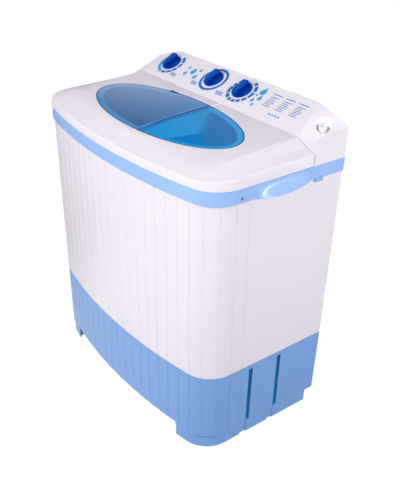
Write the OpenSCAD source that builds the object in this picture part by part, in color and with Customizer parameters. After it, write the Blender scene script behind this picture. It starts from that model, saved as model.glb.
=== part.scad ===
// Twin-tub top loading washing machine: a wash tub with a pulsator on the left and a spin basket on the
// right, under two hinged lids, with a sloping control console along the back.
// X runs to the right, Y to the back, Z up. The origin is on the floor under the middle of the body.

/* [Body] */
// Width over the waist band
body_w = 740; // [720:1:780]
// Depth over the waist band
body_d = 416; // [406:1:450]
// Radius of the bowed front
bow_r = 1490; // [1200:10:2000]
// Radius of the two front corners
corner_r = 78; // [70:1:90]
// Height of the base plinth
base_h = 225; // [215:1:240]
// Height of the underside of the waist band
band_z = 682; // [670:1:720]
// Height of the waist band itself
band_h = 33; // [30:1:42]
// How far the cabinet stands back from the band
cabinet_inset = 3.5; // [3:0.1:6]
// How much narrower the cabinet is at the plinth, on each side
cabinet_taper = 7.5; // [2:0.5:10]
// How much narrower the plinth is at the floor, on each side
base_taper = 5; // [2:0.5:8]
// How far the back leans in from the band to the floor
back_taper = 8; // [4:0.5:10]
// Wall of the moulded shells
shell_wall = 3; // [2.6:0.1:4]

/* [Pinstripe grooves] */
// Distance between grooves along the outline
groove_pitch = 35.5; // [30:0.5:40]
// Width of a groove
groove_w = 3; // [2:0.1:4]
// Depth of a groove
groove_depth = 0.9; // [0.6:0.1:1.4]
// Grooves on each side of the middle
groove_count = 13; // [9:1:13]

/* [Feet and side slots] */
// Height of the arch between the front feet
arch_h = 46; // [40:1:52]
// Half the width of the arch between the feet
arch_half_w = 254; // [230:1:270]
// Height of the smooth foot below the grooves
foot_h = 38; // [32:1:39]
// How far the smooth foot stands back
foot_inset = 2.5; // [1.5:0.1:3]
// Thickness of the foot soles and of the plinth floor
sole_t = 3.5; // [3:0.1:5]
// Radius of the round rubber feet
rubber_r = 20; // [16:1:24]
// Height of the rubber feet under the soles
rubber_h = 3; // [2:0.5:4]
// Width of the two slots in each side
slot_w = 12; // [8:1:14]
// Top of the side slots
slot_top = 212; // [190:1:213]
// Depth of the side slots
slot_depth = 20; // [12:1:24]

/* [Lids] */
// Height of the lid wall above the band, at the back
lid_wall_h = 29; // [24:1:34]
// Height of the lid's flat top above the band, at the back
lid_top_h = 52; // [48:1:60]
// Fall of the flat top towards the front, in degrees
lid_fall = 3.43; // [2:0.05:4]
// Width of the outer shallow facet round the lids
facet_outer = 30; // [24:1:34]
// Width of the inner steeper facet
facet_inner = 28; // [22:1:32]
// Thickness of the lids
lid_t = 2.5; // [2.2:0.1:3.5]
// Place of the split between the wash lid and the spin lid
split_x = 38; // [30:1:44]
// Gap between the two lids
split_gap = 1.6; // [1.2:0.1:3]
// Gap between the lids and the waist band
lid_gap = 1; // [0.8:0.1:2]

/* [Oval window] */
// Half the length of the window
window_rx = 269.5; // [250:0.5:275]
// Half the depth of the window
window_ry = 111; // [100:0.5:114]
// Middle of the window in X
window_x = -5; // [-10:1:5]
// Distance of the window from the console
window_back = 27; // [24:1:32]
// Width of the ledge that carries the pane
window_ledge = 12; // [8:0.5:14]
// Thickness of the pane
window_t = 3; // [2.5:0.1:4]

/* [Hinges] */
// Radius of the hinge pins
hinge_pin_r = 2.5; // [2:0.1:3]
// Radius of the rolled back edge of the lids
hinge_roll = 7; // [6.5:0.1:8]
// Running clearance of pins and shafts, on the radius
fit = 0.05; // [0.03:0.01:0.08]

/* [Console] */
// Depth of the console
console_depth = 97; // [93:1:100]
// Slope of the control panel, in degrees
panel_slope = 27.1; // [22:0.1:30]
// Half the width of the console's back top edge
panel_back_half = 275; // [262:1:285]
// Height of the console's side wall above the band, at the back
console_side_h = 71; // [64:1:76]
// Wall of the console
console_wall = 2.5; // [2.2:0.1:3.5]
// Distance of the knob axes up the slope
knob_up = 60; // [56:1:62]
// Place of the wash timer knob in X
wash_knob_x = -250; // [-255:1:-235]
// Place of the drain selector knob in X
selector_knob_x = -60; // [-66:1:-50]
// Place of the spin timer knob in X
spin_knob_x = 54; // [50:1:70]
// Radius of the knobs
knob_r = 27; // [23:0.5:29]
// Height of the knobs
knob_h = 19.5; // [17:0.5:24]
// Width of the knobs' grips at the back
grip_w = 17; // [14:0.5:19]

/* [Water inlet and drain] */
// Distance of the inlet cup's middle from the side
inlet_side = 46; // [43:1:50]
// Distance of the inlet cup's middle from the back
inlet_back = 32; // [29:1:36]
// Radius of the inlet cup
inlet_cup_r = 17; // [16:0.5:19]
// Outside radius of the inlet nozzle
inlet_nozzle_r = 9.25; // [8:0.25:11]
// Outside radius of the drain hose
drain_r = 14; // [12:0.5:16]
// Outside radius of the drain outlet spigot
spigot_r = 13; // [11:0.5:14]
// Lift of the drain valve
valve_lift = 10; // [6:0.5:14]

/* [Wash tub] */
// Distance of the wash tub's inside from the side of the band
wash_side = 30; // [28:1:40]
// Distance of the wash tub's inside from the split between the lids
wash_split = 24; // [22:1:32]
// Distance of the tubs' inside from the front of the band
tub_front_gap = 40; // [38:1:48]
// Distance of the wash tub's inside from the console
tub_back_gap = 19; // [18:1:27]
// Height of the wash tub's floor
wash_floor = 285; // [280:1:320]
// Corner radius of the wash tub
wash_corner = 76; // [72:1:90]
// Wall of the twin tub
tub_wall = 2.5; // [2.2:0.1:3.5]
// Gap between the pulsator and the front of the wash tub
pulsator_side = 12; // [10:0.5:25]
// Height of the pulsator's rim
pulsator_h = 14; // [10:1:18]

/* [Spin tub] */
// Distance of the spin tub's middle from the side of the band
spin_side = 172; // [166:1:176]
// How much less the spin tub's radius is than half the depth of the wash tub
spin_less = 0; // [0:0.5:4]
// Height of the outer spin tub's floor
spin_floor = 273; // [268:1:290]
// Gap between the spin basket and the spin tub
basket_gap = 15; // [13:0.5:25]
// Height of the spin basket
basket_h = 345; // [300:5:360]
// Wall of the spin basket
basket_wall = 2; // [1.6:0.1:3]
// Radius of the holes in the basket
basket_hole_r = 3.5; // [2.5:0.5:5]
// Radius of the spin shaft
spin_shaft_r = 7; // [6:0.5:8]

/* [Drive] */
// Radius of the pulsator shaft
wash_shaft_r = 8; // [7:0.5:10]
// Radius of the large belt pulley
big_pulley_r = 75; // [60:1:78]
// Radius of the motor's belt pulley
small_pulley_r = 18; // [15:1:22]
// Thickness of the belt pulleys
pulley_t = 14; // [12:1:16]
// Depth of the belt groove
belt_groove = 6; // [5:0.5:7]
// Distance of the wash motor behind the pulsator shaft
motor_back = 152; // [148:1:156]
// Radius of the wash motor
wash_motor_r = 54; // [45:1:56]
// Height of the wash motor
wash_motor_h = 88; // [70:1:90]
// Radius of the spin motor
spin_motor_r = 62; // [55:1:66]
// Height of the spin motor
spin_motor_h = 92; // [80:1:94]
// Radius of the brake drum
drum_r = 48; // [42:1:52]
// Radius of the spin motor's suspension springs
spring_r = 13; // [11:0.5:15]
// Turn of the brake lever as the spin lid opens fully, in degrees
brake_turn = 4; // [3:0.5:5]

/* [Hidden] */
$fn = 64;

sky = [0.56, 0.74, 0.95];
white = [0.94, 0.94, 0.96];
deep_blue = [0.02, 0.22, 0.62];
pane_blue = [0.10, 0.45, 0.75, 0.6];
steel = [0.72, 0.73, 0.75];
dark = [0.22, 0.23, 0.25];
rubber = [0.10, 0.10, 0.11];

half_w = body_w / 2;
front_y = -body_d / 2;
back_y = body_d / 2;
top_z = band_z + band_h;
console_y = back_y - console_depth;
window_y = console_y - window_back - window_ry;
inlet_x = half_w - inlet_side;
inlet_y = back_y - inlet_back;
wash_left = wash_side - half_w;
wash_right = split_x - wash_split;
tub_front = front_y + tub_front_gap;
tub_back = console_y - tub_back_gap;
tub_y = (tub_front + tub_back) / 2;
spin_x = half_w - spin_side;
spin_tub_r = (tub_back - tub_front) / 2 - spin_less;
basket_r = spin_tub_r - basket_gap;
pulsator_r = (tub_back - tub_front) / 2 - pulsator_side;
eps = 0.01;

// ---- the outline of the body: a bowed front, two round front corners, straight sides, a flat back ----
// An edge is [half width, front middle y, back y]. Distances along it run from the front middle.
band_edge = [half_w, front_y, back_y];
cabinet_half_top = half_w - cabinet_inset;
cabinet_half_low = cabinet_half_top - cabinet_taper;

function mix(a, b, t) = a + (b - a) * t;
function body_half(z) = z >= base_h
    ? mix(cabinet_half_low, cabinet_half_top, (z - base_h) / (band_z - base_h))
    : mix(cabinet_half_low - base_taper, cabinet_half_low, z / base_h);
function body_back(z) = back_y - back_taper * (band_z - z) / band_z;
function body_edge(z) = [body_half(z), front_y + cabinet_inset, body_back(z)];

function bow_turn(hw) = asin((hw - corner_r) / (bow_r - corner_r));
function bow_len(hw) = bow_r * bow_turn(hw) * PI / 180;
function corner_len(hw) = corner_r * (90 - bow_turn(hw)) * PI / 180;
function corner_y(hw, yf) = yf + bow_r - (bow_r - corner_r) * cos(bow_turn(hw));
function deg(len, r) = len / r * 180 / PI;

// [x, y, outward x, outward y] at the distance a from the front middle, on the right half
function right_at(edge, a) =
    let (hw = edge[0], yf = edge[1], bow = bow_len(hw), turn = bow_turn(hw), bend = bow + corner_len(hw))
    a <= bow ? let (u = deg(a, bow_r)) [bow_r * sin(u), yf + bow_r - bow_r * cos(u), sin(u), -cos(u)]
    : a <= bend ? let (u = turn + deg(a - bow, corner_r))
        [hw - corner_r + corner_r * sin(u), corner_y(hw, yf) - corner_r * cos(u), sin(u), -cos(u)]
    : [hw, corner_y(hw, yf) + a - bend, 1, 0];
function edge_at(edge, s, inset) =
    let (p = right_at(edge, abs(s)), side = s < 0 ? -1 : 1) [side * (p[0] - inset * p[2]), p[1] - inset * p[3]];

// Stops along the outline, each [distance, 1 in the bottom of a groove and 0 elsewhere]
ref_half = cabinet_half_low;
corner_from = bow_len(ref_half);
corner_to = corner_from + corner_len(ref_half);
function groove_fill(k) =
    let (m = (k + 1) * groove_pitch, a = abs(m) + groove_pitch / 2, b = abs(m) - groove_pitch / 2)
    a > corner_from && b < corner_to ? [for (f = [-0.25, 0, 0.25]) [m + f * groove_pitch, 0]] : [];
grooved_stops = [for (k = [-groove_count:groove_count - 1]) each concat(
    [for (g = [[-groove_w / 2, 0], [0, 1], [groove_w / 2, 0]]) [(k + 0.5) * groove_pitch + g[0], g[1]]],
    k < groove_count - 1 ? groove_fill(k) : [])];
bow_steps = 8;
corner_steps = 10;
band_bow = bow_len(half_w);
band_corner = corner_len(half_w);
half_stops = concat([for (i = [1:bow_steps]) band_bow * i / bow_steps],
    [for (i = [1:corner_steps]) band_bow + band_corner * i / corner_steps]);
plain_stops = concat([for (i = [len(half_stops) - 1:-1:0]) [-half_stops[i], 0]], [[0, 0]],
    [for (s = half_stops) [s, 0]]);

// One ring of points round the outline, from the back left corner by the front to the back right one
function ring(edge, stops, inset, groove, back_inset) =
    concat([[-edge[0] + inset, edge[2] - back_inset]],
        [for (s = stops) edge_at(edge, s[0], inset + s[1] * groove)],
        [[edge[0] - inset, edge[2] - back_inset]]);
function at_z(points, z) = [for (p = points) [p[0], p[1], z]];
// A ring of the tapered body at height z
function body_ring(z, inset, groove = 0, back_inset = -1) =
    at_z(ring(body_edge(z), grooved_stops, inset, groove, back_inset < 0 ? inset : back_inset), z);
function band_ring(z, inset) = at_z(ring(band_edge, plain_stops, inset, 0, inset), z);

// ---- skins through rings of points ----
function side_faces(n, a, b) = [for (j = [0:n - 1]) let (k = (j + 1) % n)
    each [[a * n + j, b * n + k, a * n + k], [a * n + j, b * n + j, b * n + k]]];
function flat(rings) = [for (r = rings) each r];
// A hollow skin: the last ring joins the first. The rings go up the outside and down the inside.
module skin_tube(rings) {
    n = len(rings[0]);
    m = len(rings);
    polyhedron(flat(rings), [for (i = [0:m - 1]) each side_faces(n, i, (i + 1) % m)], convexity = 8);
}
// A solid skin with a flat first and last ring
module skin_solid(rings) {
    n = len(rings[0]);
    m = len(rings);
    polyhedron(flat(rings), concat([for (i = [0:m - 2]) each side_faces(n, i, i + 1)],
        [[for (j = [0:n - 1]) j]], [[for (j = [n - 1:-1:0]) (m - 1) * n + j]]), convexity = 8);
}
// A round bar or hose along a route
function unit(v) = v / norm(v);
function route_dir(route, i) = unit(route[min(i + 1, len(route) - 1)] - route[max(i - 1, 0)]);
function route_ring(route, i, r, sides) =
    let (d = route_dir(route, i), up = abs(d[2]) > 0.9 ? [0, 1, 0] : [0, 0, 1],
        a = unit(cross(up, d)), b = cross(d, a))
    [for (j = [0:sides - 1]) let (t = -360 * j / sides) route[i] + r * (cos(t) * a + sin(t) * b)];
module hose(route, r, sides = 10) {
    skin_solid([for (i = [0:len(route) - 1]) route_ring(route, i, r, sides)]);
}
module both_sides() {
    children();
    mirror([1, 0, 0]) children();
}
module ring_of(count, radius) {
    for (i = [0:count - 1]) rotate([0, 0, 360 * i / count]) translate([radius, 0, 0]) children();
}
module tube(h, r_out, r_in) {
    difference() {
        cylinder(h = h, r = r_out);
        translate([0, 0, -1]) cylinder(h = h + 2, r = r_in);
    }
}
function round_rect(x0, x1, y0, y1, r, steps = 8) = [for (q = [[x1 - r, y0 + r, -90], [x1 - r, y1 - r, 0],
        [x0 + r, y1 - r, 90], [x0 + r, y0 + r, 180]]) for (i = [0:steps])
    let (a = q[2] + 90 * i / steps) [q[0] + r * cos(a), q[1] + r * sin(a)]];

// ---- base plinth ----
foot_front_y = front_y + 158;
mid_foot = [-30, 42];
rear_foot = [59, back_y - 31];
notch_h = 8;
slot_y = [-29, 63];
slot_z = arch_h;
lip_h = 10;
lip_gap = 0.4;
cabinet_wall = shell_wall - 0.5;
lip_inset = cabinet_wall + lip_gap;
foot_box_x = arch_half_w + 8;
foot_wall = 2.5;
floor_z = arch_h;
floor_inset = 2.2;
sole_z = rubber_h;

module foot_box(y0, y1, x0) {
    inset = foot_inset + 1;
    outline = [for (p = body_ring(foot_h, inset)) [p[0], p[1]]];
    module footprint() {
        intersection() {
            polygon(outline);
            translate([x0, y0]) square([half_w, y1 - y0]);
        }
    }
    translate([0, 0, sole_z]) linear_extrude(height = sole_t) footprint();
    translate([0, 0, sole_z]) linear_extrude(height = floor_z - sole_z + 1) difference() {
        footprint();
        translate([x0 + foot_wall, y0 + foot_wall]) square([half_w, y1 - y0 - 2 * foot_wall]);
    }
}

module base_shell() {
    skin_tube([
        body_ring(sole_z, foot_inset),
        body_ring(foot_h, foot_inset),
        body_ring(foot_h + 0.8, 0, groove_depth),
        body_ring(base_h, 0, groove_depth),
        body_ring(base_h, lip_inset),
        body_ring(base_h + lip_h - 1, lip_inset),
        body_ring(base_h + lip_h, lip_inset + 1),
        body_ring(base_h + lip_h, lip_inset + shell_wall),
        body_ring(base_h - 4, lip_inset + shell_wall),
        body_ring(base_h - 10, shell_wall),
        body_ring(foot_h + 6, shell_wall),
        body_ring(foot_h, foot_inset + shell_wall),
        body_ring(sole_z, foot_inset + shell_wall)
    ]);
}

module floor_plate() {
    outline = [for (p = body_ring(floor_z, floor_inset)) [p[0], p[1]]];
    translate([0, 0, floor_z]) linear_extrude(height = sole_t) difference() {
        polygon(outline);
        polygon(round_rect(-320, 40, -160, 60, 40));
        translate([300, 120]) circle(r = 24);
        for (x = [-300:60:-60]) polygon(round_rect(x, x + 40, 100, 165, 12));
    }
}

module base_plinth() {
    color(sky) {
        difference() {
            union() {
                base_shell();
                floor_plate();
                both_sides() {
                    foot_box(front_y, foot_front_y, foot_box_x);
                    foot_box(mid_foot[0], mid_foot[1], foot_box_x + 50);
                    foot_box(rear_foot[0], rear_foot[1], foot_box_x + 30);
                    // walls of the blind slots
                    for (y = slot_y)
                        translate([body_half(0) - slot_depth - shell_wall, y - slot_w / 2 - foot_wall, slot_z - foot_wall])
                            cube([slot_depth, slot_w + 2 * foot_wall, slot_top - slot_z + 2 * foot_wall]);
                }
                // seats of the three springs
                translate([spin_x, tub_y, floor_z]) ring_of(3, spider_r) spring_post();
            }
            // arches between the feet, front and back
            translate([-arch_half_w, front_y - 1, -1]) cube([2 * arch_half_w, 60, arch_h + 1]);
            translate([-half_w, rear_foot[1], -1]) cube([body_w, 60, arch_h - 5]);
            both_sides() {
                for (y = [[foot_front_y, mid_foot[0]], [mid_foot[1], rear_foot[0]]])
                    translate([arch_half_w, y[0], -1]) cube([half_w, y[1] - y[0], notch_h + 1]);
                for (y = slot_y) {
                    translate([body_half(0) - slot_depth, y - slot_w / 2, slot_z])
                        cube([slot_depth + 20, slot_w, slot_top - slot_z]);
                    translate([body_half(0) - foot_inset - 1, y - slot_w / 2, notch_h]) cube([20, 2, slot_z]);
                }
            }
            both_sides() for (p = rubber_at) translate([p[0], p[1], 0]) cylinder(h = 20, r = rubber_stem_r + fit);
            translate([spigot_x, body_back(0) - 20, spigot_z]) rotate([-90, 0, 0])
                cylinder(h = 60, r = spigot_r + fit);
        }
    }
}

rubber_at = [[306, -100], [318, 118]];
rubber_stem_r = 5;
module rubber_feet() {
    color(rubber) both_sides() for (p = rubber_at) translate([p[0], p[1], 0]) {
        cylinder(h = rubber_h, r1 = rubber_r - 1.5, r2 = rubber_r);
        cylinder(h = rubber_h + sole_t + 2, r = rubber_stem_r);
        translate([0, 0, rubber_h + sole_t]) cylinder(h = 4, r1 = rubber_stem_r + 1.2, r2 = 2);
    }
}

// ---- cabinet shell, rear cover ----
cabinet_chamfer = 0.8;
rear_wall = 5.5;
cover_t = 1.6;
cover_sink = 1.4;
cover_half = 338;
cover_low = base_h + 22;
cover_high = band_z - 16;
cover_overlap = 14;
back_lean = atan(back_taper / band_z);

// children in the plane of the leaning back wall, x to the right, y up the wall, z out of the back
module on_back() {
    translate([0, back_y - back_taper, 0]) rotate([90 - back_lean, 0, 0]) mirror([0, 0, 1]) children();
}

module cabinet_shell() {
    color(white) difference() {
        skin_tube([
            body_ring(base_h, cabinet_chamfer, groove_depth),
            body_ring(base_h + cabinet_chamfer, 0, groove_depth),
            body_ring(band_z, 0, groove_depth),
            body_ring(band_z, cabinet_wall, 0, rear_wall),
            body_ring(base_h + lip_h + 4, cabinet_wall, 0, rear_wall),
            body_ring(base_h + lip_h + 2, cabinet_wall, 0, cabinet_wall),
            body_ring(base_h, cabinet_wall, 0, cabinet_wall)
        ]);
        on_back() translate([-cover_half - 0.5, cover_low - 0.5, -cover_t - cover_sink])
            cube([2 * cover_half + 1, cover_high - cover_low + 1, 10]);
        on_back() translate([-cover_half + cover_overlap, cover_low + cover_overlap, -20])
            cube([2 * (cover_half - cover_overlap), cover_high - cover_low - 2 * cover_overlap, 40]);
        on_back() for (p = cover_screws_at) translate([p[0], p[1], -20]) cylinder(h = 40, r = screw_r);
    }
}

screw_r = 2;
cover_screws_at = [for (x = [-1, 0, 1]) for (y = [cover_low + 7, cover_high - 7]) [x * (cover_half - 7), y]];
louvre_w = 70;
louvre_h = 5;
gland_at = [cover_half - 60, cover_low + 60];
gland_r = 9;

module rear_cover() {
    color(steel) difference() {
        on_back() translate([-cover_half, cover_low, -cover_t - cover_sink])
            cube([2 * cover_half, cover_high - cover_low, cover_t]);
        on_back() for (x = [-230, -140, 120, 210]) for (i = [0:7])
            translate([x, cover_low + 60 + 14 * i, -5]) cube([louvre_w, louvre_h, 10]);
        on_back() for (p = cover_screws_at) translate([p[0], p[1], -5]) cylinder(h = 10, r = screw_r);
        on_back() translate([gland_at[0], gland_at[1] + 130, -5]) cylinder(h = 10, r = gland_r);
    }
}

module rear_cover_screws() {
    color(steel) on_back() for (p = cover_screws_at) translate([p[0], p[1], -cover_sink]) {
        cylinder(h = cover_sink, r1 = 4, r2 = 3);
        translate([0, 0, -6]) cylinder(h = 6.1, r = screw_r);
    }
}

gland_bore = 3.6;
module cord_gland() {
    color(rubber) on_back() translate([gland_at[0], gland_at[1] + 130, 0]) difference() {
        union() {
            translate([0, 0, -10]) cylinder(h = 10, r = gland_r);
            translate([0, 0, -cover_sink]) cylinder(h = 3, r1 = gland_r + 3, r2 = gland_r + 1);
            translate([0, 0, -cover_sink - cover_t - 2.3]) cylinder(h = 2.3, r = gland_r + 2.5);
        }
        translate([0, 0, -11]) cylinder(h = 20, r = gland_bore);
    }
}

// ---- waist band with its carry handles and hose hook ----
band_chamfer = 1;
shelf_w = 12;
shelf_t = 3;
band_lip = 9;
band_lip_gap = 1.2;
handle_y = [-52, 103];
handle_flare = 18;
handle_wall = 3;
handle_steps = 14;
handle_rows = 6;
hook_y = [119, 140];
hook_z = 676;

module band_ring_body() {
    lip_in = cabinet_inset + cabinet_wall + band_lip_gap;
    skin_tube([
        band_ring(band_z, band_chamfer),
        band_ring(band_z + band_chamfer, 0),
        band_ring(top_z - band_chamfer, 0),
        band_ring(top_z, band_chamfer),
        band_ring(top_z, shelf_w),
        band_ring(top_z - shelf_t, shelf_w),
        band_ring(top_z - shelf_t, lip_in + shell_wall),
        band_ring(band_z - band_lip, lip_in + shell_wall),
        band_ring(band_z - band_lip, lip_in + 0.5),
        band_ring(band_z, lip_in)
    ]);
}

// The flare swells out towards its lower edge and dies away at both ends
function handle_swell(y) = let (t = (y - handle_y[0]) / (handle_y[1] - handle_y[0]))
    handle_flare * pow(sin(180 * pow(t, 0.85)), 0.8);
function flare_at(t, y, wall) = let (lean = handle_swell(y) * pow(t, 1.5))
    [half_w + lean - wall, y, top_z - 4 - t * (band_h - 4)];
function handle_section(y) = concat(
    [for (i = [0:handle_rows]) flare_at(i / handle_rows, y, 0.02)],
    [for (i = [handle_rows:-1:0]) flare_at(i / handle_rows, y, handle_wall)]);

module carry_handle() {
    stations = [for (i = [0:handle_steps]) handle_y[0] + 0.5 + (handle_y[1] - handle_y[0] - 1) * i / handle_steps];
    n = 2 * handle_rows + 2;
    m = len(stations);
    cap = [for (j = [0:handle_rows - 1]) each [[j, j + 1, n - 2 - j], [j, n - 2 - j, n - 1 - j]]];
    polyhedron(flat([for (y = stations) handle_section(y)]), concat(
        [for (i = [0:m - 2]) each side_faces(n, i, i + 1)],
        cap, [for (f = cap) [f[2] + (m - 1) * n, f[1] + (m - 1) * n, f[0] + (m - 1) * n]]), convexity = 6);
}

module hose_hook() {
    translate([half_w - 6, hook_y[0], hook_z]) difference() {
        cube([9, hook_y[1] - hook_y[0], band_z - hook_z + 4]);
        for (y = [5, 13]) translate([-1, y, -1]) cube([12, 3.5, 5]);
        translate([-1, -1, -1]) cube([5, hook_y[1] - hook_y[0] + 2, band_z - hook_z + 1]);
    }
}

band_screw_at = [-92, 694];
module waist_band() {
    color(sky) difference() {
        union() {
            band_ring_body();
            both_sides() carry_handle();
            hose_hook();
        }
        both_sides() translate([half_w - 20, band_screw_at[0], band_screw_at[1]]) rotate([0, 90, 0])
            cylinder(h = 40, r = screw_r);
    }
}

module band_screws() {
    color(steel) both_sides() translate([half_w, band_screw_at[0], band_screw_at[1]]) rotate([0, 90, 0]) {
        translate([0, 0, -shell_wall - 5]) cylinder(h = shell_wall + 5, r = screw_r);
        cylinder(h = 1.6, r1 = 4, r2 = 3);
    }
}

switch_x = 200;

// ---- twin tub: deck, wash tub and outer spin tub in one moulding ----
deck_t = 3;
deck_inset = 6;
deck_z = top_z;
deck_top = deck_z + deck_t;
wash_mid = [(wash_left + wash_right) / 2, tub_y];
well_draft = 6;
bearing_neck_r = 15;
tub_post_r = 7;
bracket_gap = 20;
bracket_z = wash_floor - tub_wall - bracket_gap;
bracket_t = 3;
bracket_half = 128;
bracket_posts = [[-110, -80], [110, -80], [-110, 60], [110, 60]];
overflow_x = wash_right - wash_corner - 30;
overflow_w = 56;
overflow_h = 250;
overflow_d = 13;
rib_r = 9;
rib_h = 300;
seal_seat_r = 30;

hinge_y = console_y - 1.5 - hinge_roll;
hinge_z = top_z + lid_top_h - hinge_roll;
post_w = 8;
post_r = 4;
hinge_posts = [-300, -6, 82, 300];

function wash_ring(z, out) = at_z(round_rect(wash_left + draft_at(z) - out, wash_right - draft_at(z) + out,
    tub_front + draft_at(z) - out, tub_back - draft_at(z) + out, wash_corner + out), z);
function draft_at(z) = well_draft * (deck_top - z) / (deck_top - wash_floor);

module wash_outside() {
    skin_solid([wash_ring(wash_floor - tub_wall, tub_wall - 4), wash_ring(wash_floor + 2, tub_wall),
        wash_ring(deck_z + 1, tub_wall)]);
}
module wash_inside() {
    skin_solid([wash_ring(wash_floor, -6), wash_ring(wash_floor + 6, 0), wash_ring(deck_top + 5, 0)]);
}
module wash_rib(x, y) {
    translate([x, y, wash_floor - 5]) cylinder(h = rib_h, r = rib_r);
}
module hinge_post(x) {
    translate([x - post_w / 2, hinge_y, hinge_z]) rotate([0, 90, 0]) cylinder(h = post_w, r = post_r);
    translate([x - post_w / 2, hinge_y - post_r, deck_z]) cube([post_w, 2 * post_r, hinge_z - deck_z]);
}

module twin_tub() {
    deck = [for (p = band_ring(deck_z, deck_inset)) [p[0], p[1]]];
    color(white) difference() {
        union() {
            translate([0, 0, deck_z]) linear_extrude(height = deck_t) polygon(deck);
            wash_outside();
            for (p = bracket_posts) translate([wash_mid[0] + p[0], wash_mid[1] + p[1], bracket_z + bracket_t])
                cylinder(h = bracket_gap - bracket_t + 1, r = tub_post_r);
            for (x = hinge_posts) hinge_post(x);
            // low rim round both tubs
            translate([spin_x, tub_y, deck_z]) cylinder(h = deck_t + 4, r = spin_tub_r + tub_wall);
        }
        difference() {
            wash_inside();
            // wash ribs stand on the walls
            for (x = [-105, -35, 35, 105]) wash_rib(wash_mid[0] + x, tub_front);
            for (x = [-105, -50, 5]) wash_rib(wash_mid[0] + x, tub_back);
            for (y = [-50, 0, 50]) for (x = [wash_left, wash_right]) wash_rib(x, wash_mid[1] + y);
        }
        translate([spin_x, tub_y, deck_z - 1]) cylinder(h = 30, r = spin_tub_r);
        translate([wash_mid[0], wash_mid[1], wash_floor - 30]) cylinder(h = 60, r = bearing_neck_r + fit);
        for (p = bracket_posts) translate([wash_mid[0] + p[0], wash_mid[1] + p[1], bracket_z])
            cylinder(h = bracket_gap - 3, r = screw_r);
        for (x = hinge_posts) translate([x - post_w, hinge_y, hinge_z]) rotate([0, 90, 0])
            cylinder(h = 2 * post_w, r = hinge_pin_r);
        // drain port of the wash tub, behind the overflow cover
        translate([valve_at[0], tub_back + 6, drain_port_z]) rotate([90, 0, 0]) cylinder(h = 30, r = drain_r - 3);
        // passages for the valve rod, the inlet pipe and the wiring
        translate([valve_at[0], valve_at[1], deck_z - 5]) cylinder(h = 20, r = rod_r + 4);
        translate([cable_x, console_y + 32, deck_z - 5]) cylinder(h = 20, r = 12);
    }
}

// The outer spin tub hangs from the deck
module spin_tub() {
    color(white) difference() {
        translate([spin_x, tub_y, spin_floor - tub_wall])
            cylinder(h = deck_z - spin_floor + tub_wall, r = spin_tub_r + tub_wall);
        translate([spin_x, tub_y, spin_floor]) cylinder(h = deck_z - spin_floor + 1, r = spin_tub_r);
        translate([spin_x, tub_y, spin_floor - 20]) cylinder(h = 40, r = seal_seat_r + fit);
        translate([spin_drain_at[0], spin_drain_at[1], spin_floor - 10]) cylinder(h = 20, r = spin_drain_r);
    }
}

module hinge_pins() {
    color(steel) for (x = hinge_posts) translate([x - post_w / 2 - ear_w - 0.7, hinge_y, hinge_z])
        rotate([0, 90, 0]) cylinder(h = post_w + 2 * ear_w + 1.4, r = hinge_pin_r);
}

// The cover lies along the sloping back wall of the wash tub, over the drain channel
module overflow_cover() {
    lean = atan(well_draft / (deck_top - wash_floor));
    low = 40;
    wall = 2.2;
    slots = 14;
    color(sky) translate([overflow_x, tub_back - well_draft, wash_floor]) rotate([-lean, 0, 0]) difference() {
        translate([-overflow_w / 2, -overflow_d, low]) cube([overflow_w, overflow_d - 0.3, overflow_h]);
        for (i = [0:slots - 1]) translate([-overflow_w / 2 + 8, -overflow_d - 5, low + 12 + 16 * i])
            cube([overflow_w - 16, overflow_d, 6]);
        translate([wall - overflow_w / 2, wall - overflow_d, low - 1])
            cube([overflow_w - 2 * wall, overflow_d, overflow_h + 1 - wall]);
    }
}

// ---- lids ----
// The surface of the lids by inset from the outline: a wall, a shallow facet, a steeper facet, a flat top
facet_at = [0, facet_outer, facet_outer + facet_inner];
facet_rise = [0, 0.35, 1];
function lid_flat_z(y) = top_z + lid_top_h - (console_y - y) * tan(lid_fall);
wall_fall = 0.0235;
function lid_wall_z(y) = top_z + lid_wall_h - (console_y - y) * wall_fall;
function lid_ring(inset, rise, drop) = [for (p = ring(lid_edge, plain_stops, inset, 0, 0))
    [p[0], p[1], mix(lid_wall_z(p[1]), lid_flat_z(p[1]), rise) - drop]];
lid_edge = [half_w, front_y, console_y + 20];
lid_back_y = console_y - 1.5;
edge_round = 3;
ear_w = 4;
rebate_t = window_t + 0.3;

module lid_outside() {
    skin_solid([
        at_z(ring(lid_edge, plain_stops, 0, 0, 0), top_z + lid_gap),
        lid_ring(0, 0, edge_round),
        lid_ring(edge_round * 0.3, 0, edge_round * 0.3),
        lid_ring(edge_round, 0.02, 0),
        lid_ring(facet_at[1], facet_rise[1], 0),
        lid_ring(facet_at[2], facet_rise[2], 0)
    ]);
}
module lid_inside() {
    skin_solid([
        at_z(ring(lid_edge, plain_stops, lid_t, 0, 0), top_z - 1),
        lid_ring(lid_t, 0, lid_t + edge_round),
        lid_ring(lid_t + edge_round, 0.02, lid_t),
        lid_ring(facet_at[1] + 0.5, facet_rise[1], lid_t),
        lid_ring(facet_at[2] + 0.5, facet_rise[2], lid_t)
    ]);
}
// children in the plane of the lids' flat top, with the origin at the middle of the window
module on_lid_top() {
    translate([window_x, window_y, lid_flat_z(window_y)]) rotate([lid_fall, 0, 0]) children();
}
module oval(grow, h) {
    scale([(window_rx + grow) / window_ry, (window_ry + grow) / window_ry, 1])
        cylinder(h = h, r = window_ry, $fn = 96);
}
// x from x0 to x1, from the front to the lids' back edge less the trim
module lid_slab(x0, x1, trim) {
    translate([x0, front_y - 10, top_z - 20]) cube([x1 - x0, lid_back_y - trim - front_y + 10, lid_top_h + 60]);
}
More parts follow.
